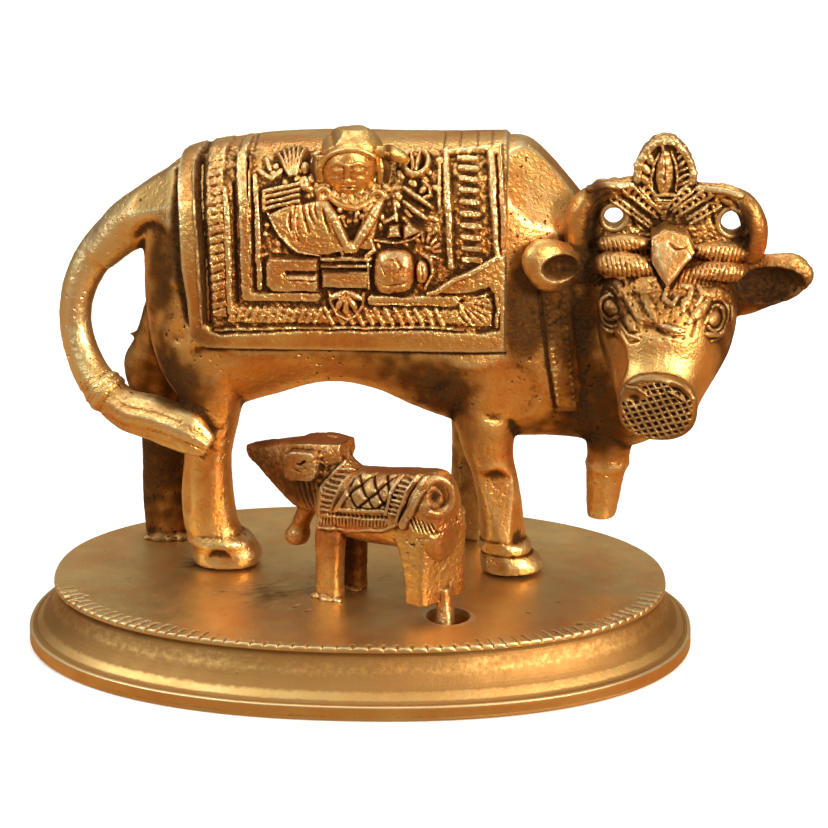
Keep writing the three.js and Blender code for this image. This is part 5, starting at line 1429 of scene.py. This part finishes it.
    # the casting is crumbly over the brow and the crown, smooth over the nose and cheeks
    crumbly = np.clip(soft_step(z, 62, 70), 0.15, 1) * (1 - 0.9 * on_muzzle)
    on_jewel = (y < -21.6) & (z > 72.2) & (z < 83.4) & (x > 63.4) & (x < 74)
    near_ear_skin = (x < 49) & (y < -13)
    on_horn = (z > 76) & ((x < 53) | (x > 82)) | (z > 90) & (y < -15.5)
    crumbly = crumbly * (1 - 0.85 * on_jewel) * (1 - 0.6 * near_ear_skin) * (1 - 0.6 * on_horn)
    for eyelet_x, eyelet_z, radius in EYELETS:
        crumbly = crumbly * soft_step(np.hypot(x - eyelet_x, z - eyelet_z), radius + 0.8, radius + 2)
    crumbly = crumbly * (1 + 0.5 * on_crown)
    lift += crumbly * (0.21 * grain(places, 1.3, 32) + 0.12 * grain(places, 0.6, 33))
    lift += 0.06 * grain(places, 3, 34) + 0.025 * grain(places, 1, 35)
    places += facing * lift[:, None]
    places[:, 2] = np.minimum(places[:, 2], CROWN_TOP)
    set_places(mesh, places)
    wear_and_highlight = by_spots(places, HEAD_WEAR_AND_HIGHLIGHT, 37)
    dirt_and_shade = weathered(piece, fine=7, broad=40, depth=0.16, wear_and_highlight=wear_and_highlight)
    rough_cast = soft_step(z, 61, 67) * (1 - on_jewel)
    dirt_and_shade += by_spots(places, HEAD_DIRT_AND_SHADE, 36) + 0.5 * on_muzzle + 0.28 * rough_cast
    return finished(piece, dirt_and_shade, HEAD_TRIANGLES)


head = cow_head()
head.data.materials.append(cow_brass)
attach(head, "root")
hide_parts("cow")

# Calf: its own small casting, ground flat over head and neck, her hind legs cast as one block
# that hangs clear of the plinth on its peg. Closed skins in hundredths of her height, made one
# by a voxel remesh; blanket, tail and hip hatching are chased into the near flank.
CALF_SHARE = 0.24
CALF_AT = (5, -11, 10.2)
CALF_TURN = np.radians(-28)
CALF_VOXEL = 0.62
CALF_TRIANGLES = 140000
# the ground-flat top of the head, from nose to nape, as x and z
CALF_TOP = [(-112, 86.5), (-94, 91.6), (-72, 98), (-50, 102.6), (-26, 104.6)]
# where dirt has stayed, and painted shade under her neck and on her front legs: place in the calf's own
# frame, reach and amount
CALF_DIRT_AND_SHADE = [
    ((-72, -6, 84), (42, 24, 20), 0.64), ((-66, 0, 50), (14, 16, 26), 0.4),
    ((0, -16, 74), (46, 12, 26), 0.42), ((-34, -8, 24), (16, 22, 26), 0.35),
    ((-31, 9, 20), (14, 10, 26), 0.5), ((44, 4, 40), (8, 20, 30), 0.2),
]


def rungs(carving, left, right, count, width, rise):
    """Short bars between two lines, like a ladder's."""
    left, right = through(left, count), through(right, count)
    for a, b in zip(left, right):
        carving.ridge([a, b], width, rise, 0.3)


def calf_relief(carving):
    ridge, groove, patch, hollow = carving.ridge, carving.groove, carving.patch, carving.hollow
    cloth = [
        (-40, 47.6), (-17, 50.6), (13, 57.2), (20, 62.5), (26, 66), (40, 103), (-24, 103), (-31, 88),
        (-38.5, 76),
    ]
    patch(cloth, 1, 1.6)
    ridge([(-26, 95), (-29.4, 88.3), (-37.4, 76.3), (-39.4, 50.4)], 2.6, 2.3)
    ridge([(-16, 95), (-23, 80), (-29.8, 62.5)], 2, 1.9)
    rungs(carving, [(-26, 91), (-35.6, 76), (-37.6, 58)], [(-18, 91), (-25.4, 76), (-31, 60)], 11, 2, 2)
    ridge([(-3, 97), (-6.5, 92.5), (-17.6, 76.8), (-24.8, 64.6)], 3.6, 2.7, 0.5)
    # lozenge of crossed cuts
    patch([(-10, 90), (-4, 96), (14, 96), (19, 86), (13, 72), (-8, 69), (-16, 74)], 2, 1.6)
    for a, b in (
        ((-14, 89), (4, 70)), ((-8, 96), (13, 72)), ((2, 97), (18, 79)), ((-15, 77), (6, 97)),
        ((-8, 69), (16, 93)), ((4, 69), (19, 84)),
    ):
        groove([a, b], 2, 2.6, 0.1)
    groove([(-12, 92), (-17, 78), (-9, 68), (14, 71), (19, 84), (15, 97)], 2.2, 2.2, 0)
    # ridges and ladder towards the rump
    ridge([(22, 101), (20.8, 97.9), (15.8, 84.6), (12.4, 69.4)], 2.6, 2.4)
    ridge([(33, 102), (31.6, 98), (26.8, 86), (20.4, 66)], 2.2, 2.3)
    rungs(carving, [(24, 99), (18.6, 85), (15.2, 70)], [(30.6, 98), (25.6, 85), (20.6, 70)], 11, 1.9, 2.2)
    groove([(35.4, 101), (29.6, 86), (22.4, 66)], 1.6, 1.6)
    ridge([(40.6, 101), (37.4, 91.6), (31, 75.8), (24.6, 64)], 5.2, 2.5, 0.6)
    # bar, dotted line and fringe along the foot
    ridge([(-25, 64.6), (-0.9, 68.4), (11, 70.4)], 2.8, 2.3, 0.4)
    for k in range(15):
        hollow((-31 + 3.1 * k, 60 + 0.47 * k), (0.95, 0.9), 2.2)
    ridge([(-38, 57.6), (13, 65)], 1.2, 1.8)
    for k in range(20):
        x = -37.4 + 2.6 * k
        ridge([(x, 51.4 + 0.2 * (x + 37)), (x + 0.4, 57.4 + 0.15 * (x + 37))], 1.5, 2, 0.2)
    ridge([(-39.6, 48.8), (-17, 51.6), (12, 58), (19, 63)], 1.8, 1.9, 0.3)
    # hatching on the hip
    for k in range(6):
        x = 29 + 3 * k
        groove([(x, 71 - 0.7 * k), (x + 3.4, 61.6 - 0.2 * k)], 1.5, 1.7, 0.4)
    # mark on the squared ear
    groove([(-54.2, 90.2), (-51.4, 90.6), (-48.2, 93.6)], 1.8, 1.8, 0.3)
    groove([(-57, 86.4), (-51.4, 85.4)], 1.2, 0.8, 0.3)


def calf_casting():
    bm = bmesh.new()
    trunk = [
        (-49, 72, 52, 8, 0), (-45, 80, 46, 14, 0), (-36, 85, 42, 18, 0), (-12, 88.8, 40.4, 19.3, 0),
        (14, 93, 41.6, 19.3, 0), (34, 96.4, 40, 19.3, 0), (42, 95, 38, 18, 0), (47, 88, 42, 15, 0),
        (49.4, 77, 54, 8.5, 0),
    ]
    loft(bm, upright(trunk), 96, 100, 2.6)
    neck = [
        ((-24, 0, 70), (0, 13, 0), (8, 0, 15)), ((-36, 0, 73), (0, 14, 0), (9, 0, 20)),
        ((-50, 0, 76), (0, 13.6, 0), (12, 0, 25)), ((-66, 0, 80), (0, 13.4, 0), (9, 0, 22)),
        ((-93, 0, 84.5), (0, 10, 0), (2, 0, 9.5)), ((-103, 0, 86), (0, 6.5, 0), (0, 0, 5.5)),
        ((-106, 0, 86.2), (0, 2.6, 0), (0, 0, 2.4)),
    ]
    loft(bm, neck, 72, 80, 2.3)
    poll = [
        ((-66, 0, 93), (0, 14, 0), (0, 0, 16)), ((-50, 0, 95), (0, 15, 0), (0, 0, 16)),
        ((-38, 0, 96), (0, 13.4, 0), (0, 0, 12)), ((-29, 0, 99), (0, 10, 0), (0, 0, 8)),
    ]
    loft(bm, poll, 64, 50, 2.4)
    ear = [
        (-64, 79.6), (-60, 77.8), (-44, 80.6), (-41, 84), (-40.5, 97), (-43, 100), (-60, 97.6),
        (-64.4, 94),
    ]
    plate(bm, ear, -10, -21.4)
    plate(bm, ear, 20.5, 10)
    bell = [
        (24.6, -69, 0, 3, 3), (27.4, -69, 0, 7.2, 7.2), (33, -68.4, 0, 8.4, 8.4), (40, -66, 0, 6.4, 6.4),
        (56, -58, 0, 7, 7),
    ]
    loft(bm, level(bell), 40, 40)
    near_front = [
        (0, -35, -13.2, 9.2, 7.4), (20, -35, -13, 9, 7), (44, -34.4, -12, 10, 7.4), (60, -32, -10, 10, 7),
    ]
    far_front = [
        (0, -31.5, 9, 9.6, 6.8), (20, -31.5, 9.4, 9.4, 6.6), (44, -32.4, 11, 10, 7.2),
        (60, -32, 10, 10, 7),
    ]
    for leg in (near_front, far_front):
        loft(bm, level(leg), 64, 40, 3.2)
    # the hind block's rear face looks a little towards the viewer
    hind = [
        (9.4, 36.6, 7.6, 18), (12, 36.8, 8.3, 18.4), (30, 36.2, 8.8, 18.8), (46, 34, 11.4, 18.4),
        (58, 32, 14.6, 18.2), (70, 33, 14, 16),
    ]
    sections = [((x, 0, z), (long, 0, 0), (0.3 * wide, wide, 0)) for z, x, long, wide in hind]
    loft(bm, sections, 120, 50, 6)
    peg = [
        (43, 0, 18, 5.2, 1), (44.4, -0.6, 8, 5.2, 1), (47.6, -4.6, -3, 5.2, 1),
        (48.4, -5.6, -12.5, 5.2, 1),
    ]
    loft(bm, rod(peg), 40, 30, 3)
    corner = np.array([45.6, -13.6, 85.5])
    right, out = np.array([0.72, 0.69, 0]), np.array([0.69, -0.72, 0])
    curl = []
    for turn in np.radians(np.linspace(150, -130, 16)):
        place = corner + 9.5 * np.cos(turn) * right + np.array([0, 0, 11.5]) * np.sin(turn) + 1.2 * out
        curl.append((*place, 3.3, 0.8))
    loft(bm, rod(curl), 32, 80)
    solder = [
        ((-42, -18.6), (4.4, 3.2)), ((-34, -20.8), (5.2, 2.6)), ((-26, -18), (3.4, 3.4)),
        ((-24.4, 3.6), (3.2, 3.2)), ((-28.4, 1.8), (3.6, 2.4)), ((-41, 4.4), (3, 3)),
    ]
    for (x, y), (long, wide) in solder:
        ball(bm, (x, y, 0.6), (long, wide, 2), 24)
    piece = cast(bm, "calf_casting", CALF_VOXEL, relax=4)
    mesh = piece.data
    places = places_of(mesh)
    # head and neck ground flat along the line of their top
    for a, b in zip(CALF_TOP, CALF_TOP[1:]):
        up = np.array([a[1] - b[1], 0, b[0] - a[0]])
        up /= np.linalg.norm(up)
        over = (places - (a[0], 0, a[1])) @ up
        span = (places[:, 0] > a[0] - 2) & (places[:, 0] < b[0] + 2)
        places -= (np.clip(over, 0, None) * span)[:, None] * up
    places, facing = settled(mesh, places, 1)
    x, y, z = places.T
    near_side = soft_step(-facing[:, 1], 0.15, 0.5)
    chosen = (facing[:, 1] < 0) & (z > 44)
    lift = carved(calf_relief, places, chosen, 0.5 * grain(places, 6, 51)) * near_side
    cavity = np.exp(-(((places - corner - 1.2 * out) / (6, 6, 6.5)) ** 2).sum(1))
    nape = np.exp(-(((x + 38) / 9) ** 2) - ((z - 90) / 12) ** 2) * (z < 102)
    crust = np.exp(-(((z - 50 - 0.62 * (x - 28)) / 4) ** 2)) * (x > 26) * (z < 76)
    bands = np.exp(-(((x + 52 + 0.25 * (z - 70)) / 9) ** 2)) * (z < 78) * (z > 56) * (y < 0)
    crumb = 0.25 + 0.9 * nape + 0.8 * crust
    lift += crumb * (1.1 * grain(places, 3.2, 52) + 0.6 * grain(places, 1.5, 53)) - 3 * cavity
    lift += 0.7 * bands * np.sin(x * 1.5 + 0.4 * z) + 0.3 * grain(places, 8, 54)
    # slot left in the ground-flat top of the head
    lift -= 2.2 * np.exp(-(((x + 44) / 5.5) ** 2) - ((y - 6) / 1.6) ** 2) * (z > 99)
    places += facing * lift[:, None]
    # the front feet end on the plate, only the peg at the back goes through it
    places[:, 2] = np.maximum(places[:, 2], np.where(x < 20, 0.02, places[:, 2]))
    set_places(mesh, places)
    dirt_and_shade = weathered(piece, fine=7, broad=40, depth=0.42) + 1.1 * cavity + 0.25 * bands
    dirt_and_shade += by_spots(places, CALF_DIRT_AND_SHADE, 55)
    # painted shade under her belly and on her far front leg; her jaw and muzzle darker too
    under = np.exp(-(((x + 6) / 26) ** 2) - ((z - 40) / 6) ** 2)
    far_leg_shade = np.exp(-(((x + 31) / 12) ** 2) - ((y - 9) / 8) ** 2) * (z < 44)
    jaw = np.exp(-(((x + 66) / 16) ** 2) - ((z - 66) / 14) ** 2) + np.exp(-(((x + 96) / 12) ** 2))
    dirt_and_shade += 0.5 * under + 0.5 * far_leg_shade + 0.3 * jaw
    return finished(piece, dirt_and_shade, CALF_TRIANGLES, CALF_SHARE, CALF_AT, CALF_TURN)


calf_brass = brass_finish(
    "calf_brass", gold=(0.64, 0.385, 0.135, 1), copper=(0.56, 0.19, 0.05, 1),
    crust=(0.022, 0.012, 0.006, 1), dull=0.4, grit=1,
)
calf = calf_casting()
calf.data.materials.append(calf_brass)
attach(calf, "root")
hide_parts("calf")

# Floor, lights and camera: a pale table top, a warm low sun from the right, a cool sky from the
# upper left, and a brown room all round that the brass mirrors.
# the camera's place and aim in metres and its lens in mm, solved from the plinth's two ovals
CAMERA_PLACE = Vector((0.02892, -0.37932, 0.16861))
CAMERA_AIM = Vector((0.00875, 0, 0.03716))
CAMERA_LENS = 111.54


def stage_floor():
    bm = bmesh.new()
    bmesh.ops.create_grid(bm, x_segments=2, y_segments=2, size=3)
    floor = new_mesh(bm, "table_top")
    material = bpy.data.materials.new("table_white")
    material.use_nodes = True
    shader = material.node_tree.nodes["Principled BSDF"]
    shader.inputs["Base Color"].default_value = (0.92, 0.92, 0.92, 1)
    shader.inputs["Roughness"].default_value = 0.8
    floor.data.materials.append(material)
    floor.visible_glossy = False


def lamp(name, place, aim, size, power, colour):
    light = bpy.data.lights.new(name, "AREA")
    light.shape = "RECTANGLE"
    light.size, light.size_y = size
    light.energy = power
    light.color = colour
    holder = bpy.data.objects.new(name, light)
    holder.location = place
    holder.rotation_euler = (Vector(aim) - Vector(place)).to_track_quat("-Z", "Y").to_euler()
    bpy.context.scene.collection.objects.link(holder)


def brown_room():
    """The world: dark warm brown below, grey at eye level, pale sky above. The camera and the
    floor see it plain white."""
    room = bpy.data.worlds.new("room")
    room.use_nodes = True
    node, feed, maths, ranged, mixed = wiring(room.node_tree)
    apart = node("ShaderNodeSeparateXYZ")
    feed(apart.inputs, node("ShaderNodeTexCoord").outputs["Generated"])
    x, y, z = apart.outputs
    ramp = node("ShaderNodeValToRGB")
    feed(ramp.inputs, ranged(z, -1, 1, way="LINEAR"))
    stops = ramp.color_ramp.elements
    stops[0].color = (0.50, 0.29, 0.12, 1)
    stops[1].color = (0.58, 0.62, 0.64, 1)
    for spot, colour in (
        (0.36, (0.50, 0.28, 0.11, 1)), (0.47, (0.34, 0.20, 0.09, 1)), (0.54, (0.13, 0.09, 0.07, 1)),
        (0.66, (0.17, 0.16, 0.15, 1)), (0.78, (0.40, 0.43, 0.42, 1)),
    ):
        stops.new(spot).color = colour
    # pale golden sky in front, paler to the left and warmer to the right
    front = maths("MULTIPLY", ranged(y, -0.1, -0.8, way="LINEAR"), ranged(z, 0, 0.45, 0, 0.85, "LINEAR"))
    sky = mixed(front, ramp.outputs[0], (0.45, 0.44, 0.34, 1))
    sky = mixed(ranged(x, -0.3, -0.95, way="LINEAR"), sky, (1.4, 1.5, 1.6, 1), "MULTIPLY")
    sky = mixed(ranged(x, 0.3, 0.95, way="LINEAR"), sky, (1.3, 0.95, 0.6, 1), "MULTIPLY")
    mirrored = node("ShaderNodeLightPath").outputs["Is Glossy Ray"]
    background = room.node_tree.nodes["Background"]
    feed(background.inputs, mixed(mirrored, (0.9, 0.9, 0.9, 1), sky), 1)
    bpy.context.scene.world = room


def photographer():
    camera = bpy.data.cameras.new("camera")
    camera.sensor_width = 36
    camera.lens = CAMERA_LENS
    holder = bpy.data.objects.new("camera", camera)
    holder.location = CAMERA_PLACE
    holder.rotation_euler = (CAMERA_AIM - CAMERA_PLACE).to_track_quat("-Z", "Y").to_euler()
    bpy.context.scene.collection.objects.link(holder)
    bpy.context.scene.camera = holder


stage_floor()
middle = (0.005, 0, 0.035)
lamp("warm_key", (0.42, -0.40, 0.30), middle, (0.16, 0.16), 4.4, (1, 0.91, 0.76))
lamp("cool_fill", (-0.55, -0.35, 0.55), middle, (0.4, 0.4), 3, (0.84, 0.93, 1))
lamp("top_cloth", (0, 0.25, 0.8), middle, (0.6, 0.5), 2.5, (1, 0.98, 0.95))
brown_room()
bpy.context.scene.view_settings.view_transform = "Standard"
photographer()
